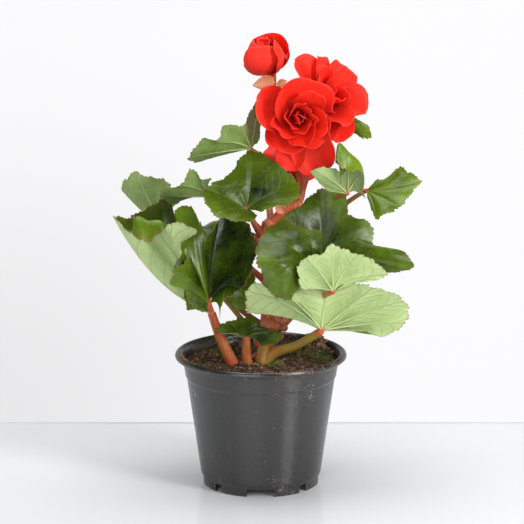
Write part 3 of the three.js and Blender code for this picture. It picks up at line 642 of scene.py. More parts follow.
class Finish:
    """What every finish shares: a named material whose shader gets wires and constants."""

    name: str

    def shade(self, graph: Graph, effects: Effects) -> dict:
        """Give what the shader's inputs get, by their names."""
        raise NotImplementedError

    def material(self, effects: Effects) -> Material:
        """Make the material from what the finish gives its shader."""
        made = bpy.data.materials.new(self.name)
        made.use_nodes = True
        graph = Graph(made.node_tree)
        graph.fill(made.node_tree.nodes["Principled BSDF"], self.shade(graph, effects))
        return made


@dataclass(frozen=True)
class LeafFinish(Finish):
    """One side of a leaf: from a dark tone to a young one, with its veins, red base and reddish edge."""

    name: str
    dark: Colour
    young: Colour
    vein: Colour
    vein_share: float
    side_share: float
    relief: float
    raised: bool
    roughness: float
    measure: str
    edge: Colour = (0.24, 0.07, 0.03)
    joint: Colour = (0.55, 0.06, 0.05)
    blotch_share: float = 0.28
    net_share: float = 0.3
    side_height: float = 0.55
    net_height: float = 0.08
    grain_height: float = 0.1
    specular: float = 0.3

    def shade(self, graph: Graph, effects: Effects) -> dict:
        """Give tone, blotches, veins, edge and joint as colour, and veins and net as relief."""
        here, sizes = graph.here(), {"Spread": graph.measure("spread"), "Reach": graph.measure("reach")}
        veins = graph.call(effects.veins, Map=graph.chart(), Pairs=SIDE_VEINS, **sizes)
        main, side, net = veins["Main"], veins["Side"], veins["Net"]
        blotch = graph.call(effects.mottle, Place=here, Scale=70.0)["Value"]
        lines = main * self.vein_share + side * self.side_share + net * (self.side_share * self.net_share)
        # The measure also carries painted light and shade: the plan's shades on the upper side, and darker
        # pockets between the ribs on the lower side.
        colour = graph.paint(
            self.dark,
            ((graph.measure(self.measure) + blotch * self.blotch_share).kept(), self.young),
            (lines.kept(), self.vein),
            (graph.measure("edge"), self.edge),
            (graph.measure("joint"), self.joint),
        )
        height = main + side * self.side_height + net * self.net_height
        height = height + graph.noise(here, 900.0) * self.grain_height
        rough = graph.fit(graph.noise(here, 300.0), 0.3, 0.7, self.roughness - 0.06, self.roughness + 0.08)
        normal = graph.bump(height, 1.0, self.relief, sunk=not self.raised)
        return {"Base Color": colour, "Normal": normal, "Roughness": rough, "Specular IOR Level": self.specular}


@dataclass(frozen=True)
class PetalFinish(Finish):
    """A petal: deep red painted shade at its root, bright on the blade, paler at its edge, with fine lengthwise
    veins.
    """

    name: str = "red_petal"
    # Painted shade: the petal darkens to this deep red towards its root, inside the bloom.
    painted_heart_shade: Colour = (0.36, 0.003, 0.002)
    blade: Colour = (0.88, 0.021, 0.009)
    edge: Colour = (0.93, 0.055, 0.034)
    sheen: Colour = (1.0, 0.35, 0.25)
    streak_share: float = 0.2
    blotch_share: float = 0.15
    hem_share: float = 0.45
    roughness: float = 0.45

    def shade(self, graph: Graph, effects: Effects) -> dict:
        """Give a colour that runs with the map's v, and veins by stretched noise on the map."""
        here, chart = graph.here(), graph.chart()
        v = graph.parts(chart)[1]
        streak = graph.noise(graph.stretched(chart, (26.0, 1.6, 1.0)), 1.0, 3.0, 0.6)
        blotch = graph.call(effects.mottle, Place=here, Scale=90.0)["Value"]
        # Painted shade at each petal's root, going over to the bright blade further out.
        colour = graph.paint(
            self.painted_heart_shade,
            (graph.fit(v, 0.05, 0.75), self.blade),
            (graph.fit(streak, 0.35, 0.75) * self.streak_share, self.edge),
            (blotch * self.blotch_share, self.edge),
            (graph.fit(v, 0.9, 1.0) * self.hem_share, self.edge),
            (graph.measure("pale"), self.edge),
        )
        return {
            "Base Color": colour,
            "Normal": graph.bump(streak + graph.noise(here, 1400.0) * 0.15, 0.6, 0.25),
            "Roughness": graph.fit(streak, 0.3, 0.7, self.roughness, self.roughness + 0.12),
            "Specular IOR Level": 0.2,
            "Sheen Weight": 0.06,
            "Sheen Roughness": 0.45,
            "Sheen Tint": self.sheen,
        }


@dataclass(frozen=True)
class StemFinish(Finish):
    """A fleshy stem that goes from salmon red to olive green, with pale lengthwise streaks."""

    name: str = "fleshy_stem"
    red: Colour = (0.47, 0.080, 0.032)
    green: Colour = (0.31, 0.26, 0.040)
    streak: Colour = (0.85, 0.44, 0.27)
    blush: Colour = (0.55, 0.040, 0.035)
    blotch_tone: float = 0.2
    blotch_height: float = 0.6
    streak_share: float = 0.65

    def shade(self, graph: Graph, effects: Effects) -> dict:
        """Give a colour that the measure tone takes from red to green, with blush laid over it."""
        here = graph.here()
        blotch = graph.call(effects.mottle, Place=here, Scale=130.0)["Value"]
        lines = graph.noise(graph.stretched(here, (900.0, 900.0, 70.0)), 1.0, 3.0, 0.7)
        shift = graph.fit(blotch, 0.0, 1.0, -self.blotch_tone, self.blotch_tone)
        colour = graph.paint(
            self.red,
            ((graph.measure("tone") + shift).kept(), self.green),
            (graph.fit(lines, 0.55, 0.75, 0.0, self.streak_share), self.streak),
            (graph.measure("pale"), self.streak),
            (graph.measure("blush"), self.blush),
        )
        return {
            "Base Color": colour,
            "Normal": graph.bump(lines + blotch * self.blotch_height, 0.7, 0.3),
            "Roughness": graph.fit(lines, 0.3, 0.7, 0.3, 0.46),
            "Specular IOR Level": 0.3,
            "Subsurface Weight": 0.12,
            "Subsurface Radius": (0.004, 0.0015, 0.001),
            "Subsurface Scale": 1.0,
        }


@dataclass(frozen=True)
class PotFinish(Finish):
    """Dark grey moulded plastic: faint upright flow lines, scuffs, dust, and dried soil near its edges."""

    name: str = "grey_plastic"
    body: Colour = (0.0145, 0.0126, 0.0134)
    scuff: Colour = (0.15, 0.152, 0.16)
    fleck: Colour = (0.42, 0.36, 0.3)
    soil: Colour = (0.34, 0.17, 0.08)
    dust_share: float = 0.02
    fleck_share: float = 0.6
    soil_roughness: float = 0.45
    grain_height: float = 0.15
    flow_height: float = 0.006

    def shade(self, graph: Graph, effects: Effects) -> dict:
        """Give plastic on which the measure dirt says how much soil clings at each height."""
        here = graph.here()
        blotch = graph.call(effects.mottle, Place=here, Scale=28.0)["Value"]
        flow = graph.noise(graph.stretched(here, (420.0, 420.0, 14.0)), 1.0, 2.0)
        pale = graph.call(effects.specks, Place=here, Scale=520.0, Amount=0.04)["Mask"]
        dirt = graph.call(effects.specks, Place=here, Scale=900.0, Amount=graph.measure("dirt"))["Mask"]
        dust = graph.fit(flow, 0.35, 0.8) * blotch * self.dust_share
        smooth = graph.fit(flow * 0.3 + blotch, 0.2, 1.0, 0.25, 0.28)
        grain = graph.noise(here, 1800.0) * self.grain_height
        coats = (dust, self.scuff), (pale * self.fleck_share, self.fleck), (dirt, self.soil)
        return {
            "Base Color": graph.paint(self.body, *coats),
            "Roughness": (smooth + dirt * self.soil_roughness).kept(),
            "Normal": graph.bump(grain + dirt + flow * self.flow_height, 0.6, 0.25),
            "Specular IOR Level": 0.8,
        }


@dataclass(frozen=True)
class EarthFinish(Finish):
    """Potting soil and what lies on it: three tones mixed by the measure shade and by fine noise."""

    name: str
    low: Colour
    middle: Colour
    high: Colour
    grain: float
    relief: float
    roughness: float

    def shade(self, graph: Graph, effects: Effects) -> dict:
        """Give low and middle tones by noise, and the high tone by the measure shade."""
        here = graph.here()
        blotch = graph.call(effects.mottle, Place=here, Scale=self.grain * 0.25)["Value"]
        fine = graph.noise(here, self.grain, 5.0, 0.7)
        share = (graph.measure("shade") * graph.fit(blotch, 0.0, 1.0, 0.55, 1.0)).kept()
        return {
            "Base Color": graph.paint(self.low, (graph.fit(fine, 0.3, 0.7), self.middle), (share, self.high)),
            "Normal": graph.bump(fine + graph.spots(here, self.grain * 0.8) * 0.6, 1.0, self.relief),
            "Roughness": graph.fit(fine, 0.3, 0.7, self.roughness - 0.08, self.roughness + 0.05),
        }


@dataclass(frozen=True)
class TableFinish(Finish):
    """A glossy pale sheet whose colour clouds from one tone to another."""

    name: str
    tone: Colour
    light: Colour
    rough: tuple[float, float] | None = None

    def shade(self, graph: Graph, effects: Effects) -> dict:
        """Give wide soft clouds of colour and, where it has two values, of roughness."""
        cloud = graph.noise(graph.here(), 3.0, 2.0)
        values = {"Base Color": graph.paint(self.tone, (graph.fit(cloud, 0.3, 0.7), self.light))}
        if self.rough:
            values["Roughness"] = graph.fit(cloud, 0.3, 0.7, *self.rough)
        return values


# The pot.


@dataclass
class Pot:
    """A round nursery pot: a tapering wall, a ring, a rolled rim, and a notched foot around a raised pad."""

    rim_top: float = 93.5
    ring_height: float = 77.4
    foot_radius: float = 41.2
    foot_height: float = 5.9
    flare: float = 1.0
    wall: float = 1.1
    pad_radius: float = 12.0
    pad_slope: float = 6.0
    notches: int = 8
    notch_widths: tuple[float, float] = (20.0, 6.5)
    notch_height: float = 5.3
    notch_sides: tuple[float, ...] = (-0.35, -0.15, 0.05)
    oval: float = 0.12
    foot_dirt: float = 0.14
    rim_dirt: float = 0.16
    ring_dirt: float = 0.07
    inner_dirt: float = 0.25
    sides: int = 288

    def profile(self) -> tuple[Array, int]:
        """Give the outline as radius and height, from the pad's middle out, up, over the rim and back inside.

        Each corner is a radius, a height and the number of steps that lead to the next.

        Returns:
            The rows of the outline, and how many of them lie outside.
        """
        foot, top, ring, up = self.foot_radius, self.rim_top, self.ring_height, self.foot_height
        pad, floor = self.pad_radius, up + 1.2
        wall = foot + self.flare
        corners = [(0.01, 0.35, 4), (pad - 1, 0.0, 1), (pad, 0.3, 1), (pad + self.pad_slope, up, 5)]
        corners += [(foot - 1.5, up, 1), (foot - 1.4, 0.3, 1), (foot - 1.0, 0.0, 1), (foot - 0.3, 0.0, 1)]
        corners += [(foot, 0.4, 1), (foot + 0.2, up - 0.5, 1), (foot + 0.5, up + 0.3, 1), (wall, floor, 24)]
        corners += [(51.7, ring - 2.2, 1), (51.9, ring - 1.2, 1), (52.5, ring - 0.6, 1), (52.75, ring, 1)]
        corners += [(52.8, ring + 0.8, 4), (54.4, top - 5.6, 1), (54.8, top - 5.0, 1), (56.5, top - 4.9, 1)]
        corners += [(58.4, top - 4.3, 1), (59.6, top - 3.3, 1), (59.85, top - 2.4, 1), (59.4, top - 1.1, 1)]
        corners += [(58.4, top - 0.3, 1), (57.2, top, 1), (55.9, top - 0.5, 1)]
        outside = sum(steps for *_, steps in corners)
        inner = wall - self.wall
        corners += [(54.9, top - 1.5, 1), (53.6, top - 5.0, 1), (51.6, ring + 0.4, 1), (50.75, ring - 1.4, 24)]
        corners += [(inner, up + 1.4, 1), (inner - 0.6, floor, 5), (pad + self.pad_slope + 1, floor, 1)]
        corners += [(pad, 1.3, 1), (0.01, 1.3, 1)]
        line = [
            np.add(a[:2], np.subtract(b[:2], a[:2]) * np.linspace(0, 1, a[2], endpoint=False)[:, None])
            for a, b in zip(corners, corners[1:])
        ]
        return np.concatenate([*line, [corners[-1][:2]]]), outside

    def gaps(self) -> list[tuple[float, float]]:
        """Give the notches, each as the angle of its middle and half its width, wide and narrow by turns."""
        middles = [-math.pi / 2 + k * TURN / self.notches for k in range(self.notches)]
        return [(middle, self.notch_widths[k % 2] / 2) for k, middle in enumerate(middles)]

    def notch_lift(self, turn: Array) -> Array:
        """Give the height of the foot's lower edge around the pot: 0, and the notch height inside a notch."""
        lift = np.zeros_like(turn)
        for middle, half in self.gaps():
            far = np.abs((turn - middle + math.pi) % TURN - math.pi) * self.foot_radius
            side = ease(half + self.notch_sides[0], half + self.notch_sides[-1], far)
            lift = np.maximum(lift, self.notch_height * (1 - side))
        return lift

    def turns(self) -> Array:
        """Give the angles of the upright lines: evenly spaced, with more at the notches' sides."""
        near = np.array(self.notch_sides)
        ends = [np.outer((-1, 1), half + near) / self.foot_radius + middle for middle, half in self.gaps()]
        extra = np.concatenate(ends, axis=None)
        return np.sort(np.concatenate([circle(self.sides), extra % TURN]))

    def build(self, effects: Effects) -> None:
        """Carry the profile round the axis, oval towards the rim, lift the foot at its notches and dress it.

        Dirt is the share of soil that clings: near the foot, at the ring and under the rim, and inside.
        """
        (line, outside), turn = self.profile(), self.turns()
        radius, height = line[:, :1], line[:, 1:]
        foot = (radius > self.foot_radius - 2) & (height < 1.0)
        up = np.where(foot, np.maximum(height, self.notch_lift(turn)), height)
        radius = radius + self.oval * np.sin(2 * turn + 0.6) * ease(60, 92, height)
        near_ring = np.exp(-(((up - self.ring_height + 1) / 2.5) ** 2))
        dirt = self.foot_dirt * ease(14, 0, up) + self.rim_dirt * ease(self.rim_top - 12, self.rim_top - 1, up)
        dirt = dirt + self.ring_dirt * near_ring
        patch = value_noise(stack(np.cos(turn), np.sin(turn), 0 * turn), 0.3, 5)
        outer = np.arange(len(line))[:, None] < outside
        dirt = np.where(outer, dirt + 0.07 * patch * (dirt > 0.02), self.inner_dirt)
        uv = stack(np.append(turn, TURN) / TURN, np.linspace(0, 1, len(line))[:, None])
        shell = Shell()
        shell.add_rings(stack(radius * np.cos(turn), radius * np.sin(turn), up), uv, True, dirt=dirt)
        present("nursery_pot", shell, ["pot"], [PotFinish().material(effects)])


# The soil.


@dataclass
class Soil:
    """Peat soil: a rough crowned bed with a mound at the back right, crumbs, fibres and moss.

    On the rim, crumbs gather around headings, each given with its spread and its number of crumbs.
    """

    top: float = 86.5
    radius: float = 52.4
    crown: float = 1.5
    mound: tuple[float, float] = (38.0, 28.0)
    mound_radius: float = 12.0
    mound_height: float = 10.0
    roughness: float = 1.35
    crumbs: int = 900
    piled: int = 150
    on_rim: tuple = ((-2.85, 0.17, 46), (-1.53, 0.12, 26), (-0.75, 0.16, 14))
    rim_band: tuple[float, float] = (55.7, 58.8)
    rim_surface: float = 92.7
    fibres: int = 260
    tufts: int = 240
    tuft_spread: float = 3.4
    tuft_threads: int = 5
    moss_at: tuple = ((28, 16), (44, 8), (38, 10), (46, 0), (-31, 21), (-27, 15), (10, -15), (6, 34))
    skirt: tuple = ((52.3, 85.0), (51.0, 78.4), (50.3, 75.9), (40.5, 7.5), (0.01, 7.4))

    def height(self, x: Array, y: Array) -> Array:
        """Give the height of the bed.

        Its crown falls off evenly to the wall and the mound as exp(-d^2), and its lumps are noise that is
        weaker at the wall.
        """
        out = np.hypot(x, y)
        far = np.hypot(x - self.mound[0], y - self.mound[1]) / self.mound_radius
        lumps = layered_noise(stack(x, y, 0.0), 7.0, 3, 4) * self.roughness
        lumps *= 0.35 + 0.65 * ease(self.radius + 1, self.radius - 5, out)
        return self.top + self.crown * (1 - out / 60) + self.mound_height * np.exp(-far * far) + lumps

    def on_bed(self, flat: Array) -> Array:
        """Set places in x and y on the bed."""
        return np.column_stack([flat, self.height(*flat.T)])

    def bed(self) -> Shell:
        """Make the bed as rings from the middle outwards, then down inside the wall to the pot's floor."""
        turn = circle(216)
        rings = np.linspace(0.01, self.radius, 84)[:, None]
        x, y = rings * np.cos(turn), rings * np.sin(turn)
        skirt = [stack(r * np.cos(turn), r * np.sin(turn), z) for r, z in self.skirt]
        points = np.concatenate([stack(x, y, self.height(x, y)), skirt])
        shade = ease(0.15, 0.9, layered_noise(points, 3.0, 41)) * 0.55
        uv = np.concatenate([points, points[:, :1]], axis=1)[..., :2] / self.radius
        shell = Shell()
        shell.add_rings(points, uv, shade=shade)
        return shell

    def scatter(self, count: int, seed: int) -> tuple[Array, np.random.Generator]:
        """Draw places on the bed, evenly over its area, and return them with their seeded generator."""
        draw = np.random.default_rng(seed)
        radius = np.sqrt(draw.uniform(0, 1, count)) * (self.radius - 1.5)
        turn = draw.uniform(0, TURN, count)
        return self.on_bed(np.column_stack([radius * np.cos(turn), radius * np.sin(turn)])), draw

    @staticmethod
    def add_lumps(shell: Shell, centres: Array, sizes: Array, seed: int, shades: Array, rough: float) -> None:
        """Add a small ragged closed lump at each centre.

        A lump is a ball whose radius is multiplied by 1 + rough times noise, flattened to three quarters of
        its height.

        Args:
            shell: Where to add them.
            centres: Their places.
            sizes: Their radii.
            seed: Picks the noise.
            shades: The measure shade of each.
            rough: How ragged they are.
        """
        middles, round_one = centres[:, None, None], ball(6, 8)
        bumps = 1 + rough * value_noise(round_one * 1.3 + middles, 1.0, seed)
        lumps = middles + round_one * (bumps * sizes[:, None, None])[..., None] * (1, 1, 0.75)
        for lump, shade in zip(lumps, shades):
            shell.add_rings(lump, shade=shade)

    @staticmethod
    def add_threads(shell: Shell, routes: Array, radii: Array, shades: Array) -> None:
        """Add thin three-sided threads that taper towards both ends.

        Args:
            shell: Where to add them.
            routes: Points of each thread, threads on the first axis.
            radii: The radius of each.
            shades: The measure shade of each.
        """
        heads = unit(np.gradient(routes, axis=1))
        normal = unit(np.cross(heads, np.broadcast_to((0.2, 0.3, 1.0), heads.shape)))
        turn = circle(3)[:, None]
        ring = normal[:, :, None] * np.cos(turn) + np.cross(heads, normal)[:, :, None] * np.sin(turn)
        taper = np.sin(np.linspace(0.12, math.pi - 0.12, routes.shape[1]))
        points = routes[:, :, None] + ring * (radii[:, None] * taper)[..., None, None]
        ids = shell.add_points(points, shade=shades[:, None, None])
        for one in np.concatenate([ids, ids[..., :1]], axis=2):
            shell.add_grid(one, flip=True)
        ends = np.stack([ids[:, 0], ids[:, -1, ::-1]], axis=1)
        shell.add_faces(ends, np.zeros(ends.shape + (2,)))

    def litter(self) -> Shell:
        """Make the crumbs: many small ones all over, larger ones on the mound, and a few on the pot's rim."""
        shell = Shell()
        places, draw = self.scatter(self.crumbs, 21)
        sizes = 0.45 + 1.15 * draw.uniform(0, 1, self.crumbs) ** 2.5
        self.add_lumps(shell, places, sizes, 22, draw.uniform(0, 1, self.crumbs) ** 2, 0.35)
        around = draw.normal(0, self.mound_radius * 0.42, (self.piled, 2)) + self.mound
        around = around[np.hypot(*around.T) < self.radius + 2]
        count = len(around)
        piled = self.on_bed(around) + draw.uniform(0, 2.2, count)[:, None] * (0, 0, 1)
        self.add_lumps(shell, piled, draw.uniform(0.5, 2.0, count), 23, draw.uniform(0.1, 1, count), 0.5)
        turn = np.concatenate([draw.normal(*cluster) for cluster in self.on_rim])
        count = len(turn)
        radius = draw.uniform(*self.rim_band, count)
        rim = stack(radius * np.cos(turn), radius * np.sin(turn), self.rim_surface + 0.6 * (radius < 58))
        self.add_lumps(shell, rim, draw.uniform(0.25, 0.75, count), 24, draw.uniform(0.5, 1, count), 0.5)
        return shell

    def threads(self) -> Shell:
        """Make the fibres: each starts on the bed and drifts in a level arc that rises and comes down again."""
        places, draw = self.scatter(self.fibres, 31)

        def each(low: float, high: float) -> Array:
            """Draw a number for each fibre, as a column."""
            return draw.uniform(low, high, self.fibres)[:, None]

        heading, length, bend = each(0, TURN), each(2.5, 9.0), each(-1.6, 1.6)
        along = np.linspace(0, 1, 6)
        turn = heading + bend * along
        x = places[:, :1] + length * along * np.cos(turn)
        y = places[:, 1:2] + length * along * np.sin(turn)
        keep = np.hypot(x, y).max(axis=1) < self.radius - 0.5
        lift = each(0.2, 1.6) * np.sin(np.pi * along) + 0.3
        routes = stack(x, y, self.height(x, y) + lift)[keep]
        radii, shades = each(0.09, 0.26)[keep, 0], each(0.3, 1.0)[keep, 0]
        shell = Shell()
        self.add_threads(shell, routes, radii, shades)
        return shell

    def moss(self) -> Shell:
        """Make the moss: tufts crowd in a few patches, each a spray of short upright threads on a soft lump."""
        draw = np.random.default_rng(51)
        middle = np.array(self.moss_at, float)[draw.integers(0, len(self.moss_at), self.tufts)]
        flat = middle + draw.normal(0, self.tuft_spread, (self.tufts, 2))
        places = self.on_bed(flat[np.hypot(*flat.T) < self.radius - 2])
        shell, count = Shell(), len(places)
        shades = draw.uniform(0, 1, count)
        self.add_lumps(shell, places, draw.uniform(0.5, 1.3, count), 52, shades, 0.6)
        owner = np.repeat(np.arange(count), self.tuft_threads)
        lean = draw.normal(0, 0.55, (len(owner), 2))
        tall = draw.uniform(1.0, 2.6, len(owner))[:, None]
        along = np.linspace(0, 1, 4)
        out = unit(np.column_stack([lean, np.ones(len(owner))]))[:, None]
        routes = places[owner][:, None] + out * (tall * along)[..., None]
        routes[..., :2] += lean[:, None] * (along**2)[:, None] * 0.6
        self.add_threads(shell, routes, draw.uniform(0.16, 0.3, len(owner)), shades[owner])
        return shell

    def build(self, effects: Effects) -> None:
        """Make the four pieces that stand for the soil and dress them."""
        shells = {"bed": self.bed(), "crumbs": self.litter(), "fibres": self.threads(), "moss": self.moss()}
        for name, shell in shells.items():
            present("soil_" + name, shell, ["soil"], [EARTH[name].material(effects)])


# Leaves and stems.


@dataclass(frozen=True)
class Plan:
    """What every leaf plan gives: its stalk's route from the stem, its base, and its tones.

    Tone goes from 0, dark and old, to 1, pale and young, and shades add painted light and shade to it,
    spread evenly from the first vein to the last. The inset is how much its edge is drawn in.
    """

    stalk: tuple
    base: Place
    tone: float
    _: KW_ONLY
    thick: tuple[float, float] = (2.4, 1.8)
    shades: tuple[float, ...] = (0.0, 0.0)
    under: float = 0.6
    quilt: float = 1.1
    inset: float = 0.0

    def stalk_route(self) -> Array:
        """Give the stalk's route in space, up to the base of the blade."""
        return np.array([*self.stalk, self.base], float)


@dataclass(frozen=True)
class VeinPlan(Plan):
    """A leaf as it is seen, with stalk and base as Sight takes them.

    The veins run anticlockwise seen from the upper side. Each is the point where it bends and the point
    where it ends.
    """

    veins: tuple

    def stalk_route(self) -> Array:
        """Give the stalk's route in space, up to the base of the blade."""
        return SIGHT.places(super().stalk_route())

    def blade(self) -> tuple[Array, Array, Array]:
        """Give the base, the knees and the tips of the veins in space."""
        veins = SIGHT.places(np.reshape(self.veins, (-1, 2, 3)))
        return SIGHT.places(self.base), veins[:, 0], veins[:, 1]


@dataclass(frozen=True)
class FarPlan(Plan):
    """A leaf on the far side, in x, y and z, with its middle vein's heading, pitch and length."""

    heading: float
    pitch: float
    long: float
    _: KW_ONLY
    inset: float = 4.1

    def out(self, share: float) -> Array:
        """Give the point of each vein at a share of its length.

        It lies at its length along its angle, at the height arch sin(pi share), plus or minus the ripple,
        less droop times the square of its length, and the whole is pitched and turned to the heading.
        """
        turn = np.radians(FAR_VEINS)
        length = np.array(FAR_LENGTHS) * share
        ripple = FAR_RIPPLE * share * np.where(np.arange(len(turn)) % 2, 1, -1)
        rise = (FAR_ARCH * math.sin(math.pi * share) + ripple - FAR_DROOP * length**2) * self.long
        x, y = length * np.cos(turn) * self.long, length * np.sin(turn) * self.long
        pitch, heading = math.radians(-self.pitch), math.radians(self.heading)
        x, z = x * math.cos(pitch) + rise * math.sin(pitch), rise * math.cos(pitch) - x * math.sin(pitch)
        x, y = x * math.cos(heading) - y * math.sin(heading), x * math.sin(heading) + y * math.cos(heading)
        return stack(x, y, z) + self.base

    def blade(self) -> tuple[Array, Array, Array]:
        """Give the base, the knees and the tips of the veins in space."""
        return np.array(self.base, float), self.out(0.55), self.out(1.0)


@dataclass
class Leaf:
    """A begonia leaf: a thin blade on a fan of veins, quilted between them, ruffled and toothed at its edge."""

    node: str
    plan: VeinPlan | FarPlan
    seed: int
    thick: float = 0.42
    tooth: float = 1.15
    tooth_width: float = 3.1
    lobe: float = 2.0
    lobe_width: float = 10.0
    ruffle: float = 1.5
    wrinkle: float = 0.1
    groove: float = 0.05
    bite: float = 0.5
    rib: float = 0.55
    rib_end: float = 0.12
    hem: float = 0.45
    old_tone: float = -0.14
    edge_tone: float = 0.22
    mottle: float = 0.2
    veins_per_rib: float = 2.0
    full_reach: float = 32.0
    rows: int = 32

    def rib_place(self, place: Array) -> Array:
        """Count the places among the ribs: every second vein from the longest one is a rib."""
        base, _, tips = self.plan.blade()
        longest = int(np.argmax(np.linalg.norm(tips - base, axis=1)))
        return (place - longest) / self.veins_per_rib + 8

    def flat(self, place: Array, share: Array) -> Array:
        """Give points of the blade without its relief.

        Each vein leaves the base, bends at its knee and ends at its tip: two parabolas meet at the knee with
        the slope from base to tip. Between the veins, knees and tips lie on smooth curves.

        Args:
            place: Places among the veins, 0 at the first.
            share: Shares of the way from base to edge.

        Returns:
            The points, places on the first axis and shares on the second.
        """
        base, knees, tips = self.plan.blade()
        knee, tip = through(knees, place)[:, None], through(tips, place)[:, None]
        inner, outer = (np.linalg.norm(part, axis=-1, keepdims=True) for part in (knee - base, tip - knee))
        bend = np.clip(inner / (inner + outer), 0.25, 0.85)
        slope = tip - base
        v = share[None, :, None]
        s, t = np.clip(v / bend, 0, 1), np.clip((v - bend) / (1 - bend), 0, 1)
        low = base * (1 - s) ** 2 + (knee - slope * bend / 2) * 2 * s * (1 - s) + knee * s**2
        high = knee * (1 - t) ** 2 + (knee + slope * (1 - bend) / 2) * 2 * t * (1 - t) + tip * t**2
        return np.where(v <= bend, low, high)

    def columns(self) -> tuple[Array, Array]:
        """Choose the columns so that along the edge they stand four to a tooth.

        Returns:
            Their places among the veins, and the length of the edge up to each.
        """
        _, knees, tips = self.plan.blade()
        fine = np.linspace(0, len(tips) - 1, 40 * len(tips))
        steps = sum(
            np.linalg.norm(np.diff(through(points, fine), axis=0), axis=1) * weight
            for points, weight in ((tips, 0.8), (knees, 0.35))
        )
        length = np.concatenate([[0], np.cumsum(steps)])
        teeth = max(12, round(length[-1] / self.tooth_width))
        even = np.linspace(0, length[-1], teeth * 4 + 1)
        return np.interp(even, length, fine), even

    def teeth(self, edge: Array, size: float) -> tuple[Array, Array]:
        """Give how far the edge reaches out, from its length up to each column.

        Each tooth is a ramp that rises over three quarters of its width and varies in height, and each lobe a
        longer one that falls off softly.

        Returns:
            The ramps from 0 to 1, and the reach in millimetres.
        """
        phase = edge / edge[-1] * (len(edge) - 1) / 4
        saw = np.where(phase % 1 < 0.76, (phase % 1) / 0.75, 0.0)
        vary = 0.75 + 0.35 * value_noise(stack(np.floor(phase), 0.0, float(self.seed)), 1.0, 7)
        big = edge / (self.lobe_width * (0.75 + 0.35 * size))
        swing = (big + 0.35 * value_noise(stack(big * 0.6, 0.0, 3.0), 1.0, self.seed)) % 1
        lobe = swing**0.8 * ease(1.0, 0.86, swing)
        reach = self.tooth * (saw * vary - 0.4) + self.lobe * (lobe - 0.45)
        return saw, reach * (0.55 + 0.45 * size) - self.plan.inset

    def build(self, upper: Material, lower: Material) -> None:
        """Make the blade with its relief and dress both sides.

        The relief is added along the blade's normal: the quilt swells between the ribs u as |sin(pi u)|, the
        ruffle is noise that grows with the square of v, and the ribs are sunk into the upper side.
        """
        plan, (place, edge) = self.plan, self.columns()
        v = 1 - (1 - np.linspace(0, 1, self.rows)[None]) ** 1.5
        grid = self.flat(place, v[0])
        outward, aside, normal = unit(np.gradient(grid, axis=1)), np.gradient(grid, axis=0), grid_normals(grid)
        normal[:, 0] = unit(normal[:, 1].mean(axis=0))
        ribs = self.rib_place(place)[:, None]
        off = (ribs + 0.5) % 1 - 0.5
        between = np.abs(np.sin(math.pi * ribs))
        spread = np.linalg.norm(aside, axis=-1) / np.gradient(ribs, axis=0)
        reach = np.linalg.norm(np.diff(grid, axis=1), axis=-1).sum(axis=1)[:, None]
        size = min(1.0, reach.mean() / self.full_reach)

        swell = plan.quilt * size * (np.sqrt(between**2 + 0.02) - 0.14) * np.sin(math.pi * np.minimum(v, 0.9))
        wave_at = stack(edge[:, None] / 10, v * 1.2, float(self.seed))
        wave = value_noise(wave_at, 1.0, self.seed) * v**2 * self.ruffle * size
        fine = layered_noise(grid, 9.0, self.seed + 9, 2) * self.wrinkle * np.minimum(v * 3, 1)
        lateral = (v - 0.5 * np.abs(off) ** 0.8) * SIDE_VEINS + 0.5 * (off > 0)
        lines = np.exp(-((((lateral + 0.5) % 1 - 0.5) / 0.16) ** 2)) * ease(0.1, 0.3, v) * (1 - v**4)
        grid = grid + normal * (swell + wave + fine - self.groove * size * lines)[..., None]

        saw, teeth = self.teeth(edge, size)
        grid = grid + outward * (teeth[:, None] * ease(0.7, 1.0, v) ** 1.8)[..., None]
        bite = self.bite * np.abs(np.sin(v * reach[[0, -1]].mean() / self.tooth_width * 2)) * v
        for side, sign in ((0, -1), (-1, 1)):
            grid[side] += unit(aside)[side] * sign * bite[0][:, None]

        width = 0.28 + 0.75 * (1 - v)
        rib = np.exp(-((np.abs(off) * spread / width) ** 2)) * (self.rib_end + self.rib * size * (1 - v) ** 0.8)
        grid = grid - normal * (rib * 0.5)[..., None]
        grid[:, 0] = grid[0, 0]
        mottle = self.mottle * layered_noise(grid, 26.0, self.seed + 3, 2)
        # Painted light and shade, which the plan gives vein by vein.
        shade = evenly(plan.shades, place / place[-1])[:, None]
        tone = plan.tone + self.old_tone + shade + self.edge_tone * ease(0.6, 1.0, v)
        # Painted shade: the lower side is darker in the pockets between the ribs, most where the quilt is deep
        # and towards the base.
        under = plan.under - 0.12 * plan.quilt * between * ease(1, 0.4, v)
        measures = {
            "spread": spread,
            "reach": reach,
            "tone": np.clip(tone + mottle, -0.3, 1),
            "under": np.clip(under + mottle * 0.5, 0, 1),
            "edge": (saw[:, None] * 0.7 + 0.1) * ease(0.965, 1.0, v) * 0.65,
            "joint": ease(0.075, 0.02, v) * 0.9,
        }
        shell = Shell()
        thick = (self.thick + rib) * (1 - self.hem * ease(0.8, 1.0, v))
        add_sheet(shell, grid, thick, stack(ribs, v), 1, **measures)
        present(self.node.replace("leaf", "blade"), shell, [self.node], [upper, lower])


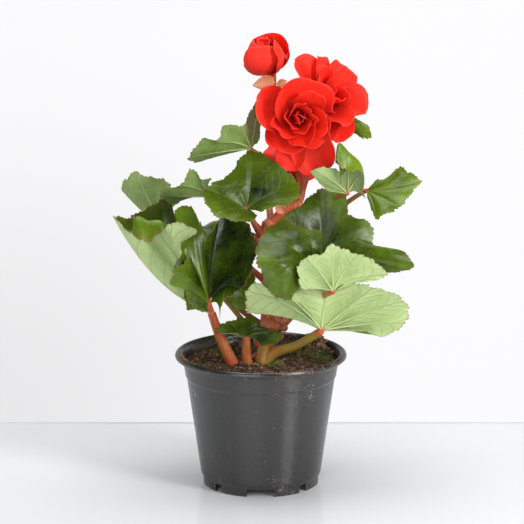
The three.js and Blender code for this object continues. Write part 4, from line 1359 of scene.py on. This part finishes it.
@dataclass
class Stems:
    """All stems and leaf stalks, which leave a crown under the soil."""

    sides: int = 20
    step: float = 1.1
    foot_flare: float = 0.35
    foot_length: float = 3.0
    skin: float = 0.06
    mottle: float = 0.16
    knuckle: float = 0.16
    stem_blush: float = 0.1
    stalk_blush: float = 0.75

    def add_stem(self, shell: Shell, route: Array, radii: tuple, tones: tuple, blush: float, seed: int) -> None:
        """Add one stem whose foot is flared and whose skin is slightly ribbed.

        The radius follows the given ones along the route, times 1 + flare exp(-s / foot length), times
        1 + skin noise around it.

        Args:
            shell: Where to add it.
            route: Its route in space.
            radii: Radii, spread evenly over the route.
            tones: The measure tone, spread evenly over the route.
            blush: The measure blush at the far end.
            seed: Picks the noise.
        """
        length = np.linalg.norm(np.diff(route, axis=0), axis=1).sum()
        along = np.linspace(0, 1, max(8, round(length / self.step)))
        centres, heads = stalk_points(route, along)
        run, turn = along[:, None] * length, circle(self.sides)
        bumps = layered_noise(stack(np.cos(turn), np.sin(turn), run / 14 + seed) * 1.6, 1.0, seed, 2)
        foot = 1 + self.foot_flare * np.exp(-run / self.foot_length)
        tone = np.clip(evenly(tones, along) + self.mottle * value_noise(centres, 9.0, seed), 0, 1)
        flush = blush * ease(0.9, 1.0, along) + 0.25 * ease(0.06, 0.0, along)
        radii = evenly(radii, along)[:, None] * foot * (1 + self.skin * bumps)
        add_stalk(shell, centres, heads, radii, tone=tone, blush=flush, pale=0 * along)

    def add_knuckles(self, shell: Shell) -> None:
        """Add the swollen joints of the main stem, with the red scales of the shoots that wait there."""
        uv = stack(np.linspace(0, 1, 23), np.linspace(0, math.pi, 15)[:, None] * 4)
        for number, (*seen, radius) in enumerate(KNUCKLES):
            joint = ball(15, 22)
            bumps = 1 + self.knuckle * layered_noise(joint * 1.5 + number * 5, 1.0, 60, 3)
            points = SIGHT.places(seen) + joint * (bumps * radius)[..., None] * (1, 1, 0.8)
            shell.add_rings(points, uv, tone=0.12, blush=0.35 * ease(0.2, 0.9, bumps - 0.6), pale=0.15)

    def build(self, leaves: dict[str, VeinPlan | FarPlan], effects: Effects) -> None:
        """Make every stem and stalk as one piece and dress it."""
        shell = Shell()
        for seed, (route, radii, tones) in enumerate(STEMS.values()):
            self.add_stem(shell, SIGHT.places(route), radii, tones, self.stem_blush, seed)
        for seed, (name, leaf) in enumerate(leaves.items()):
            tones = STALK_TONES.get(name, USUAL_TONES)
            self.add_stem(shell, leaf.stalk_route(), leaf.thick, tones, self.stalk_blush, 20 + seed)
        self.add_knuckles(shell)
        present("stems_and_stalks", shell, ["stems"], [StemFinish().material(effects)])


# Blooms.


@dataclass(frozen=True)
class Petal:
    """A petal: its angle around the bloom's axis, and its lean from the axis at its root and at its tip.

    Angles are in degrees. Cup is the radius of its bow across, and pale the share of edge colour on it.
    """

    turn: float
    lean_from: float
    lean_to: float
    long: float
    wide: float
    cup: float
    wave: float
    pale: float = 0.0


def whorl(count: int, start: float, *sizes: float) -> list[Petal]:
    """Give a ring of like petals, evenly spaced from a start angle on."""
    return [Petal(start + k / count * 360, *sizes) for k in range(count)]


@dataclass
class Bloom:
    """A double bloom: petals around a small core."""

    node: str
    at: Place
    towards: Place
    core: float
    seed: int
    petals: list[Petal]
    shingle: float = math.tan(math.radians(16.0))
    thick: float = 0.45
    root: float = 0.7
    cut_back: float = 0.3
    crumple: float = 0.22
    torn: float = 0.35
    columns: int = 30
    rows: int = 22

    def petal(self, petal: Petal, number: int) -> Array:
        """Give a petal's middle surface about the axis +Z.

        From the core it runs out by its length with a lean that goes evenly from the first angle to the
        last. Across, it is an arc of the cup's radius, whose half width is wide (0.2 + 0.8 sin(pi s^0.8))
        held from s^0.8 = 0.62 on. Its corners are cut back as long s^3 a^4, it is tilted sideways by the
        shingle, and its edge is waved by s^2 sin(5 a + 2 turn) and finer noise.

        Args:
            petal: Its sizes.
            number: Picks its noise.

        Returns:
            The points, across on the first axis and outwards on the second.
        """
        turn, start = math.radians(petal.turn), math.radians(petal.lean_from)
        across = np.linspace(-1, 1, self.columns)[:, None]
        share = np.linspace(0, 1, self.rows)[None]
        lean = np.radians(petal.lean_from + (petal.lean_to - petal.lean_from) * np.clip(share + 1 / 6, 0, 1))
        steps = stack(np.sin(lean), np.cos(lean))[0] * petal.long / (self.rows - 1)
        steps[0] = self.core * self.root * math.sin(start), self.core * self.root * math.cos(start)
        radius, height = np.cumsum(steps, axis=0).T
        half = petal.wide * (0.2 + 0.8 * np.sin(math.pi * np.minimum(share**0.8, 0.62)))
        bow = across * half / petal.cup
        side = petal.cup * np.sin(bow)
        spot = stack(across * 2.2 + 9 * number, share * 2.0, float(self.seed))
        wave = petal.wave * share**2 * np.sin(5 * across + 2 * turn)
        wave = wave + (0.35 + 0.5 * petal.wave) * share**3 * value_noise(spot, 0.55, self.seed)
        wave = wave + self.crumple * value_noise(spot, 0.9, self.seed + 5) * share
        notch = self.torn * value_noise(spot * (1, 0, 0) + (0, number, 0), 0.45, self.seed + 2) * share**6
        lift = petal.cup * (1 - np.cos(bow)) + self.shingle * side + wave
        shorten = petal.long * self.cut_back * share**3 * across**4 + notch
        r = radius - lift * np.cos(lean) - shorten * np.sin(lean)
        z = height + lift * np.sin(lean) - shorten * np.cos(lean)
        return stack(r * math.cos(turn) - side * math.sin(turn), r * math.sin(turn) + side * math.cos(turn), z)

    def stand(self) -> Array:
        """Give the turn that takes +Z to the way the bloom faces, by the shortest way, as a matrix."""
        axis = unit(np.array(self.towards, float))
        x, y, _ = np.cross((0.0, 0.0, 1.0), axis)
        skew = np.array([[0, 0, y], [0, 0, -x], [-y, x, 0]])
        return np.eye(3) + skew + skew @ skew / (1 + axis[2])

    def build(self, material: Material) -> None:
        """Make every petal and the core, turn them the way the bloom faces, and dress them."""
        shell, centre, turned = Shell(), SIGHT.places(self.at), self.stand().T
        share = np.linspace(0, 1, self.rows)[None]
        uv = stack(np.linspace(0, 1, self.columns)[:, None], share)
        thin = self.thick * (1 - 0.4 * ease(0.7, 1.0, share))
        for number, petal in enumerate(self.petals):
            grid = self.petal(petal, number) @ turned + centre
            pale = petal.pale * ease(0.9, 0.3, share)
            add_sheet(shell, grid, thin, uv + (number * 1.7, 0), 0, pale=pale)
        shell.add_rings(centre + ball(17, 24) * self.core * 0.92, pale=0.0)
        present(self.node.replace("bloom", "petals"), shell, [self.node], [material])


@dataclass
class Bract:
    """A small cupped blade at a joint."""

    node: str
    base: Place
    tip: Place
    wide: float
    cup: float
    tone: float
    thick: float = 0.45
    outline: tuple[float, ...] = (0.35, 0.9, 1.0, 0.6, 0.08)
    ragged: float = 0.06
    rough: float = 0.25

    def build(self, material: Material) -> None:
        """Make it from its width along its length, curved up across as the square, and dress it."""
        start, end = SIGHT.places((self.base, self.tip))
        along = end - start
        side = unit(np.cross(along, (0.0, -1.0, 0.0)))
        up = unit(np.cross(side, along))
        share = np.linspace(0, 1, 26)[None, :, None]
        across = np.linspace(-1, 1, 21)[:, None, None]
        width = through(np.array(self.outline), share[..., 0] * (len(self.outline) - 1))[..., None]
        ragged = 1 + self.ragged * np.sin(share * 38) * np.abs(across) ** 6
        grid = start + along * share + side * across * width * self.wide * ragged
        grid = grid + up * across**2 * width * self.cup
        grid = grid + up * (self.rough * value_noise(grid, 2.5, 8))[..., None]
        shell = Shell()
        uv = stack(across[..., 0] / 2 + 0.5, share[..., 0])
        add_sheet(shell, grid, self.thick, uv, 0, tone=self.tone, blush=0.0, pale=0.35)
        present(self.node + "_scale", shell, [self.node], [material])


@dataclass
class SmallBud:
    """A closed bud on the main stem: a pointed red ball of wrapped petals with a green foot."""

    at: Place = (-4, 167, -3)
    radius: float = 2.6
    stretch: float = 1.5
    lean: float = -0.6
    petals: int = 3
    petal_step: float = 0.08

    def build(self, material: Material) -> None:
        """Make it as a turned ball whose radius steps in spirals, lean it, and dress it."""
        fall = np.linspace(0, math.pi, 33)[:, None]
        wrap = (self.petals * circle(48) / TURN + fall / math.pi * 0.8) % 1
        x, y, z = np.moveaxis(ball(33, 48) * (self.radius * (0.93 + self.petal_step * wrap))[..., None], -1, 0)
        z = z * self.stretch
        cosine, sine = math.cos(self.lean), math.sin(self.lean)
        points = stack(x * cosine + z * sine, y, z * cosine - x * sine) + SIGHT.places(self.at)
        foot = ease(0.45, 0.8, fall / math.pi)
        shell = Shell()
        shell.add_rings(points, tone=foot, blush=1 - foot, pale=0.0)
        present("closed_bud", shell, ["bud_small"], [material])


# The studio.


@dataclass
class Studio:
    """A pale table in front of a white room, a large soft light above and a tall one at the front right."""

    table_back: float = 142.0
    table_edge: float = 4.0
    reach: float = 2600.0
    table: Colour = (0.75, 0.775, 0.79)
    table_light: Colour = (0.78, 0.80, 0.815)
    edge: Colour = (0.50, 0.53, 0.55)

    def strip(self, front: float, height: float, material: Material) -> None:
        """Add a level strip up to the table's back, which isn't part of the plant, named as its material."""
        mesh = bpy.data.meshes.new(material.name)
        corners = [(-1, front), (1, front), (1, self.table_back), (-1, self.table_back)]
        points = [(side * self.reach * MM, y * MM, height * MM) for side, y in corners]
        mesh.from_pydata(points, [], [(0, 1, 2, 3)])
        mesh.materials.append(material)
        piece = bpy.data.objects.new(material.name, mesh)
        bpy.context.collection.objects.link(piece)

    def light(self, name: str, power: float, size: tuple, place: Place, aim: float, colour: Colour) -> None:
        """Add a rectangular light that looks from its place at a height on the pot's axis, in metres."""
        data = bpy.data.lights.new(name, "AREA")
        data.shape = "RECTANGLE"
        data.energy, data.color = power, colour
        data.size, data.size_y = size
        lamp = bpy.data.objects.new(name, data)
        lamp.location = place
        back = unit(np.subtract(place, (0, 0, aim)))
        lamp.rotation_euler = (math.acos(back[2]), 0.0, math.atan2(back[0], -back[1]))
        bpy.context.collection.objects.link(lamp)

    def build(self, effects: Effects) -> None:
        """Make the table, a darker strip along its back edge, the lights and the white surroundings."""
        table = TableFinish("pale_table", self.table, self.table_light, (0.04, 0.07))
        self.strip(-self.reach, -0.05, table.material(effects))
        edge = TableFinish("table_edge", self.edge, self.table)
        self.strip(self.table_back - self.table_edge, -0.04, edge.material(effects))
        self.light("overhead", 22.0, (1.5, 1.1), (-0.05, 0.2, 1.5), 0.1, (1.0, 1.0, 1.0))
        self.light("fill", 22.0, (1.6, 1.6), (-0.7, -2.2, 0.8), 0.15, (1.0, 1.0, 1.0))
        self.light("side_strip", 15.0, (0.35, 1.0), (0.95, -0.78, 0.7), 0.1, (1.0, 0.99, 0.98))
        self.room()
        bpy.context.scene.view_settings.view_transform = "Standard"

    def room(self) -> None:
        """Make the surroundings: a level band as light, and to the camera white with painted shade towards the
        lower left.
        """
        world = bpy.data.worlds.new("white_room")
        world.use_nodes = True
        graph, nodes = Graph(world.node_tree), world.node_tree.nodes
        x, y, z = graph.parts(graph.node("TexCoord", output="Generated"))
        glow = graph.fit(z, 0.2, 0.5, 1.0, 0.0) * graph.fit(y, -0.6, 0.1, 0.25, 0.7) + 0.06
        graph.fill(nodes["Background"], {"Color": (0.97, 0.985, 1.0), "Strength": glow})
        # Painted shade on the white that the camera sees, darker towards the lower left.
        dim = graph.fit(z, -0.28, -0.10, 0.18, 0.03) * graph.fit(x, -0.124, 0.06, 1.0, 0.12)
        shown = {"Color": (0.99, 0.985, 1.0), "Strength": graph.math("SUBTRACT", 1.0, dim)}
        inputs = {
            0: graph.node("LightPath", output="Is Camera Ray"),
            1: Wire(graph, nodes["Background"].outputs[0]),
            2: graph.node("Background", shown),
        }
        graph.fill(nodes["World Output"], {"Surface": graph.node("MixShader", inputs)})
        bpy.context.scene.world = world


# The plant's own places. Leaves, stems and blooms are given as Sight takes them, unless said otherwise.

# For each leaf its stalk, base and tone, and its veins, each as the point where it bends and where it ends.
LEAVES = {
    "leaf_upper_left": VeinPlan(((2, 165, 4), (-3, 175, -6)), (-10, 188, -18), 0.16, (
        (-4, 187, -22, 0, 186, -28), (1, 190, -22, 10, 189, -26), (8, 194, -16, 26, 196, -14),
        (10, 201, -10, 25, 207, -6), (3, 208, -8, 14, 217, -4), (-7, 208, -8, -7, 229, 2),
        (-16, 203, -12, -23, 210, -6), (-23, 196, -20, -38, 203, -22), (-24, 191, -30, -39, 193, -40),
        (-20, 188, -34, -31, 184, -46), (-12, 185, -34, -19, 179, -48), (-8, 185, -30, -7, 180, -42),
        (-7, 186.5, -24, -3, 184, -36),
    ), thick=(2.4, 1.9)),
    "leaf_top_left": VeinPlan(((20, 209, 12), (14, 217, 8), (5, 223, 4)), (-7, 230, 2), 0.5, (
        (-23, 225.5, 0, -45, 219.5, -6), (-27, 228, -8, -50, 224, -14), (-23, 232, -12, -40, 237, -22),
        (-17, 234, -10, -31, 235, -20), (-14, 238, -12, -25, 246, -24), (-11, 239, -8, -16, 246, -16),
        (-7, 240, -2, -10, 248, -8), (-4.5, 246, 6, -1.5, 264, 4), (-2, 244, 10, 3, 258, 12),
        (-3, 239, 10, 1, 248, 16), (-3, 236, 8, -1, 240, 12), (-5, 233, 6, -3, 234, 10),
    ), thick=(1.1, 1), under=-0.15),
    "leaf_left_high": VeinPlan(((3, 171, 4), (-8, 182, 10), (-20, 193, 6)), (-32, 197, -2), 0.42, (
        (-46, 196, 0, -63, 192, 2), (-48, 197, -6, -69, 197, -6), (-48, 200, -8, -65, 203, -12),
        (-46, 203, -8, -56, 205, -14), (-43, 204, -8, -48, 216, -14), (-39, 203, -6, -42, 208, -12),
        (-36, 203, -4, -34, 208, -10),
    ), thick=(1.7, 1.3), under=0.1),
    "leaf_far_left_back": VeinPlan(((6, 118, 6), (-14, 128, 16), (-44, 154, 28)), (-68, 176, 24), 0.5, (
        (-81, 186, 20, -97, 202, 10), (-79, 190, 16, -94, 208, 4), (-77, 194, 14, -87, 213, 0),
        (-74, 194, 14, -79, 210, 4), (-70, 194, 16, -71, 210, 8), (-67, 192, 18, -64, 206, 14),
        (-64, 187, 20, -57, 193, 20),
    ), thick=(2.2, 1.5), under=0.3),
    # leaf_left's shades paint shade on the back wall of its cup, its first veins, and light on the flap that
    # folds over.
    "leaf_left": VeinPlan(((-6, 66, 0), (-18, 79, -9), (-27, 97, -12)), (-34, 116, -14), 0.3, (
        (-42, 146, 10, -61, 179, 12), (-56, 156, 4, -64, 196, 8), (-66, 156, 0, -77, 190, 2),
        (-70, 149, -6, -92, 182, -4), (-70, 139, -20, -103, 182.5, -16), (-85, 178, -28, -88, 170, -36),
        (-77, 179, -30, -78, 165, -40), (-66, 178, -32, -70, 172, -40), (-59, 160, -34, -61, 179, -40),
        (-54, 156, -36, -45, 173, -48), (-53, 146, -36, -55, 165, -48), (-52, 142, -32, -55, 157, -46),
        (-49, 132, -26, -60, 147, -32), (-42, 125, -22, -54, 132, -32), (-41, 119, -18, -51, 118.5, -26),
    ), thick=(5.2, 3), shades=(-0.2, -0.3, -0.3, -0.3, -0.1, 0.1, 0.1, 0, 0, 0, 0, 0, 0, 0, 0), under=0.9),
    # leaf_centre_left's shades paint shade on its right lobes, which curl forward, and light mostly on its left
    # side.
    "leaf_centre_left": VeinPlan(((-26, 95, -5), (-32, 110, -20)), (-36, 123, -30), 0.05, (
        (-30, 123, -34, -28, 113, -40), (-30, 127, -31, -25, 125, -36), (-25, 135, -32, -14, 133, -42),
        (-20, 143, -32, -5, 147, -44), (-20, 152, -24, -5, 167, -24), (-25, 156, -14, -14, 185, -4),
        (-33, 156, -14, -29, 181, -4), (-38, 154, -22, -36.5, 171, -20), (-43, 158, -26, -49, 190, -14),
        (-48, 156, -28, -59, 187, -16), (-50, 152, -32, -58, 172, -20), (-46, 145, -37, -50, 156, -36),
        (-49, 139, -45, -61, 145, -54), (-48, 132, -42, -62, 136, -50), (-43, 127, -38, -53, 132, -46),
        (-42, 123, -36, -46, 120, -42), (-37, 119, -36, -33, 117, -42),
    ), thick=(2.6, 1.8), shades=(0.2, 0, -0.2, -0.2, -0.1, 0, 0, 0, 0.3, 0.5, 0.4, 0, 0.3, 0.4, 0.2, 0, 0)),
    "leaf_low": VeinPlan(((-6, 66, -4), (-9, 79, -10), (-10, 90, -12)), (-10, 99, -14), 0.2, (
        (-4, 98, -16, 1, 93, -22), (1, 100, -16, 12, 96, -22), (1, 103, -14, 14, 102, -16),
        (-3, 106, -10, 1, 107, -8), (-7, 106, -8, -5, 113, -4), (-12, 106, -10, -14, 113, -6),
        (-16, 104, -12, -21, 111, -8), (-20, 104, -16, -30, 108, -16), (-20, 102, -20, -28, 102, -24),
        (-16, 100, -20, -16, 102, -26),
    ), thick=(4.6, 2.6)),
    "leaf_behind_left": VeinPlan(((3, 92, 0), (-10, 108, 6), (-20, 120, 8)), (-26, 127, 8), 0.55, (
        (-20, 123, 2, -17, 119, -4), (-16, 126, 4, -7, 120, 0), (-14, 132, 8, -3, 131, 8),
        (-16, 139, 12, -6, 146, 16), (-21, 140, 16, -20, 160, 24), (-27, 138, 16, -32, 152, 24),
        (-31, 132, 14, -39, 139, 20), (-29, 129, 6, -31, 125, 2),
    ), thick=(2, 1.7), under=0.5),
    "leaf_centre": VeinPlan(((6, 124, 4), (16, 130, -2), (31, 144, -14)), (39, 152, -26), 0.12, (
        (41, 162, -24, 42, 172, -18), (35, 163, -28, 31, 174, -20), (27, 163, -32, 18, 178, -20),
        (22, 161, -36, 6, 176, -24), (17, 156, -42, -2, 165, -36), (17, 153, -45, -3, 153, -48),
        (19, 149, -47, 1, 143, -52), (20, 146, -49, 5, 132, -52), (22, 143, -46, 17, 125, -51),
        (25, 142, -42, 25, 131, -42), (31, 149, -34, 29, 146, -40),
    ), thick=(2.6, 2)),
    "leaf_right": VeinPlan(((6, 128, 4), (27, 137, 2)), (42, 147, 0), 0.24, (
        (62, 148.5, 0, 84, 143.5, 0), (69, 152.5, -2, 105, 148, -4), (67, 158.5, 2, 97, 160, 3),
        (62, 166, 6, 79.5, 160.5, 8), (59, 171, 8, 76, 178, 14), (54, 175.5, 10, 61.5, 184, 14),
        (50, 177, 12, 58, 200, 18), (42, 177, 12, 42, 202, 20), (34, 175, 8, 29, 193, 14),
        (27, 172, 4, 17, 187, 8), (22, 168, 0, 4, 176, 2), (26, 160, -4, 10, 163, -4),
    ), thick=(2.8, 2.2)),
    "leaf_right_pale": VeinPlan(((6, 110, 4), (31, 123, -14)), (50, 131, -30), 0.5, (
        (40, 133, -38, 28, 132, -44), (37, 139, -42, 26, 147, -51), (40, 145, -44, 31, 154, -52),
        (44, 147, -42, 43, 158, -48), (49, 149, -39, 48, 164, -44), (53, 147, -30, 55, 161, -32),
        (58, 146, -26, 67, 157, -26), (63, 143, -22, 75, 154, -20), (66, 140, -18, 87, 142, -12),
        (60, 136, -24, 69, 137, -18),
    ), thick=(2.4, 1.8), under=0.8, quilt=1.8),
    "leaf_front_right": VeinPlan(((2, 82, -8), (9, 88.5, -10), (24, 93.5, -17)), (42, 104, -30), 0.6, (
        (23, 110.5, -35, -10, 116, -36), (17, 123, -40, -10, 132, -44), (20, 125, -42, -2, 136, -48),
        (26, 122, -42, 10, 132, -50), (33, 122, -34, 27, 135, -34), (44, 123, -26, 48, 139, -20),
        (56, 124, -22, 67, 137, -18), (63, 122, -22, 78, 134, -20), (69, 120, -24, 89, 131, -24),
        (72, 116, -26, 99, 125, -28), (72, 111, -30, 102, 118, -34), (70, 108, -34, 100, 109, -40),
        (65, 105, -34, 86, 101, -42), (58, 104, -32, 72, 104, -38),
    ), thick=(4.4, 2.5), under=0.76, quilt=2.8),
    "leaf_upper_right": VeinPlan(
        ((5, 178, 5), (22, 182, 20), (44, 193, 27), (54, 197, 14)), (60, 199, 0), 0.45, (
        (53, 200, -2, 47, 200, -4), (49, 203, -6, 37, 209, -12), (49, 208, -8, 36, 215, -16),
        (52, 210, -6, 46, 217, -10), (55, 207, 0, 58, 214, 0), (54, 232, -6, 52, 222, -14),
        (61, 227, -6, 58.5, 215, -14), (67, 219, -4, 69, 213, -12), (69, 211, -2, 71, 204, -6),
        (66, 200, 2, 71.5, 196, 2),
    ), thick=(1.9, 1.5), under=0.4),
    "leaf_far_right": VeinPlan(((3, 171, 5), (26, 172, 26), (50, 186, 32), (66, 197, 20)), (73, 201, 8), 0.4, (
        (74, 197, 4, 74, 194, 2), (78, 192, -2, 79, 180, -12), (83, 192, -4, 87, 184, -14),
        (88, 194, -4, 98, 188, -14), (91, 198, -2, 105, 198, -8), (94, 203, 2, 113, 208, 0),
        (91, 205, 6, 104, 215, 8), (88, 208, 10, 96, 219, 14), (84, 208, 10, 88, 211, 12),
        (78, 206, 10, 81, 210, 12),
    ), thick=(2, 1.6), under=0.5, inset=2.1),
    "leaf_behind_bloom": VeinPlan(((37, 243, 38), (44, 247, 43)), (50, 250.5, 48), 0.5, (
        (57, 246, 46, 64, 241, 42), (62, 247, 44, 71, 237, 38), (65, 248, 44, 76, 238, 38),
        (65, 249, 46, 75, 245, 42), (62, 251, 48, 70, 249, 46), (57, 253.5, 50, 63, 253, 50),
    ), thick=(1.2, 1)),
}

# In x, y and z: the stalk, the base, the tone, and the middle vein's heading, pitch and length.
FAR_LEAVES = {
    "leaf_back_high": FarPlan(((7, 6, 184), (5, 20, 196)), (0, 32, 204), 0.4, 100, 8, 42),
    "leaf_back_left": FarPlan(((5, 8, 140), (-12, 22, 152)), (-26, 36, 165), 0.2, 128, 12, 50),
    "leaf_back_right": FarPlan(((8, 8, 134), (22, 26, 146)), (32, 42, 156), 0.25, 56, 6, 50),
    "leaf_back_low_left": FarPlan(((4, 8, 108), (-12, 22, 116)), (-27, 35, 126), 0.15, 118, 0, 44),
    "leaf_back_low_right": FarPlan(((7, 6, 102), (22, 26, 112)), (33, 38, 124), 0.2, 62, 4, 46),
}

# The veins of each leaf on the far side: their angles and lengths, and how they ripple, arch and droop.
FAR_VEINS = (-150, -112, -72, -30, 0, 34, 74, 114, 152)
FAR_LENGTHS = (0.44, 0.62, 0.68, 0.84, 1, 0.72, 0.6, 0.54, 0.38)
FAR_RIPPLE = 0.07
FAR_ARCH = 0.12
FAR_DROOP = 0.34

# For each stem its route, and along it its radii and its tones from red, 0, to green, 1.
STEMS = {
    "main": (
        ((1, 62, -6), (2.5, 84, -7), (4, 96, 0), (6, 111, 4), (6, 139, 4), (3, 167, 4), (5, 179, 4)),
        (6.4, 5.8, 5.8, 6.4, 5.2, 4.4, 4),
        (0.95, 0.85, 0.15, 0.1, 0.05, 0.1, 0.1),
    ),
    "flower": (
        ((4, 175, 4), (17, 188, 6), (26, 193, 8), (29, 203, 10), (33, 217, 12), (26.3, 245.5, 6.6)),
        (3.4, 2.6, 2),
        (0, 0),
    ),
    "bud": (
        ((25, 191, 8), (20, 208, 12), (15, 229, 13), (10.5, 257, 10), (9, 284, 6)),
        (2.2, 1.7, 1.4),
        (0, 0),
    ),
    "small_bud": (((2, 164, 3), (-3, 164, -2)), (1, 0.9), (0, 0)),
    "low": (((28, 199, 9), (26, 210, 19), (23, 222, 24)), (1.9, 1.6), (0, 0)),
    "right": (((32, 214, 12), (35, 228, 26), (37, 243, 38), (42, 254.5, 36)), (1.9, 1.6), (0, 0)),
}

# Joints of the main stem: the place and the radius of each.
KNUCKLES = (
    (-1, 84, 3, 6.4), (2, 97, 1, 6.9), (7, 108, 0, 7.2), (11, 100, -1, 4.6), (4, 122, 2, 6.4),
    (12, 113, 1, 5.2), (15, 106, 2, 3.6), (6, 139, 2, 5.6), (4, 166, 3, 5), (5, 178, 4, 4.4), (26, 192, 8, 3.2),
    (29, 203, 10, 2.6), (33, 216, 12, 2.6),
)

# Tones of a usual stalk, and of those that stand out, at the stem and at the blade.
USUAL_TONES = (0.15, 0.45)
STALK_TONES = {
    "leaf_left": (0, 0.42), "leaf_centre_left": (0, 0.1), "leaf_behind_left": (0.9, 1),
    "leaf_front_right": (0.45, 0.85), "leaf_low": (0.05, 0.45), "leaf_upper_left": (0, 0),
    "leaf_upper_right": (0.5, 0.6), "leaf_far_right": (0.4, 0.6),
}

BLOOMS = (
    Bloom("bloom_front", (25, 251.5, 2), (0.12, -1, 0.1), 7, 3, [
        *whorl(3, 60, 18, -6, 14, 5.5, 6, 0.5), *whorl(4, 20, 42, 12, 18, 8.5, 9, 0.9),
        Petal(140, 66, 42, 22, 13, 16, 0.6), Petal(212, 64, 30, 22, 12, 12, 1.5),
        Petal(283, 64, 34, 21, 12, 12, 1.5), Petal(350, 66, 42, 20, 12, 14, 1),
        Petal(62, 62, 42, 22, 12, 14, 0.6), Petal(75, 86, 66, 24, 23, 26, 0.5),
        Petal(165, 88, 62, 28, 18, 20, 0.6), Petal(243, 94, 46, 25, 19, 17, 0.8),
        Petal(330, 90, 66, 20, 15, 20, 0.8), Petal(266, 108, 80, 33, 12, 14, 1, 0.6),
        Petal(300, 108, 82, 37, 18, 17, 1.2, 0.4),
    ]),
    Bloom("bloom_right", (44, 260.5, 36), (0.5, -0.7, 0.45), 6, 5, [
        *whorl(3, 40, 20, 10, 19, 7, 8, 1), *whorl(5, 10, 56, 44, 26, 12, 14, 1.4),
        Petal(35, 88, 80, 31.5, 12.5, 20, 1.6), Petal(84, 86, 78, 30.5, 14, 20, 1.6),
        Petal(114, 90, 84, 31.5, 9.5, 12, 1.6), Petal(150, 88, 80, 34, 17, 20, 1.2),
        Petal(212, 88, 80, 31, 14.5, 20, 1.6), Petal(266, 88, 80, 31, 14.5, 20, 1.6),
        Petal(307, 86, 76, 26, 13.5, 18, 1.6),
    ]),
    Bloom("bloom_low", (23, 226, 26), (-0.1, 0.7, -0.5), 5, 7, [
        *whorl(5, 70, 84, 60, 18, 12, 16, 1),
    ]),
    Bloom("bloom_top", (5, 283, 5), (-0.12, -0.16, 1), 5, 9, [
        *whorl(3, 60, 44, -40, 24, 8, 9, 0.3), Petal(262, 97, -26, 26, 18, 17, 0.3, 0.1),
        Petal(350, 97, -34, 28, 14.5, 17, 0.3, 0.1), Petal(80, 97, -30, 30.5, 18, 17, 0.3, 0.1),
        Petal(172, 97, -34, 28, 14.5, 17, 0.3, 0.1),
    ]),
)

BRACTS = (
    Bract("bract_left", (9.2, 277, 3), (-5.6, 273.6, -2), 5.2, 2.5, 0.35),
    Bract("bract_right", (11.35, 274, 8.4), (17.8, 277, 11.4), 2.6, 1.2, 0.8),
    Bract("stipule_low", (12, 112, -2), (21, 117, -6), 4, 2, 0),
    Bract("stipule_high", (16, 186, 3), (10, 192, -2), 3.4, 1.6, 0),
)

# The soil's four finishes: dark, middle and light tone, grain per metre, relief in mm and roughness.
EARTH = {
    "bed": EarthFinish("peat", (0.014, 0.009, 0.006), (0.075, 0.042, 0.024), (0.30, 0.15, 0.07), 900, 1.2, 0.9),
    "crumbs": EarthFinish(
        "peat_crumb", (0.018, 0.012, 0.008), (0.09, 0.05, 0.028), (0.42, 0.22, 0.12), 700, 0.6, 0.92
    ),
    "fibres": EarthFinish(
        "peat_fibre", (0.07, 0.034, 0.018), (0.22, 0.10, 0.045), (0.55, 0.28, 0.13), 1200, 0.2, 0.8
    ),
    "moss": EarthFinish(
        "moss", (0.024, 0.042, 0.010), (0.08, 0.12, 0.024), (0.42, 0.46, 0.11), 1100, 0.3, 0.75
    ),
}


SCALE_LEAF = StemFinish("scale_leaf", (0.70, 0.20, 0.12), (0.30, 0.26, 0.08), (0.80, 0.34, 0.20))


class Tone(Enum):
    """The finishes of a leaf's two sides."""

    UPPER = LeafFinish(
        name="leaf_upper", dark=(0.005, 0.013, 0.001), young=(0.16, 0.27, 0.008), vein=(0.18, 0.28, 0.03),
        vein_share=0.22, side_share=0.04, relief=0.09, raised=False, roughness=0.25, measure="tone",
    )
    LOWER = LeafFinish(
        name="leaf_lower", dark=(0.12, 0.20, 0.025), young=(0.46, 0.58, 0.26), vein=(0.55, 0.66, 0.28),
        vein_share=0.7, side_share=0.26, relief=0.55, raised=True, roughness=0.42, measure="under",
    )


def main() -> None:
    logging.basicConfig(level=logging.INFO, format="%(name)s %(message)s")
    SIGHT.camera()
    effects = Effects()
    Pot().build(effects)
    Soil().build(effects)
    leaves = {**LEAVES, **FAR_LEAVES}
    Stems().build(leaves, effects)
    upper, lower = Tone.UPPER.value.material(effects), Tone.LOWER.value.material(effects)
    for seed, (node, plan) in enumerate(leaves.items()):
        Leaf(node, plan, seed + 1).build(upper, lower)
    petal = PetalFinish().material(effects)
    for bloom in BLOOMS:
        bloom.build(petal)
    scale = SCALE_LEAF.material(effects)
    for bract in BRACTS:
        bract.build(scale)
    SmallBud().build(scale)
    Studio().build(effects)
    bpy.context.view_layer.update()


if __name__ == "__main__":
    main()
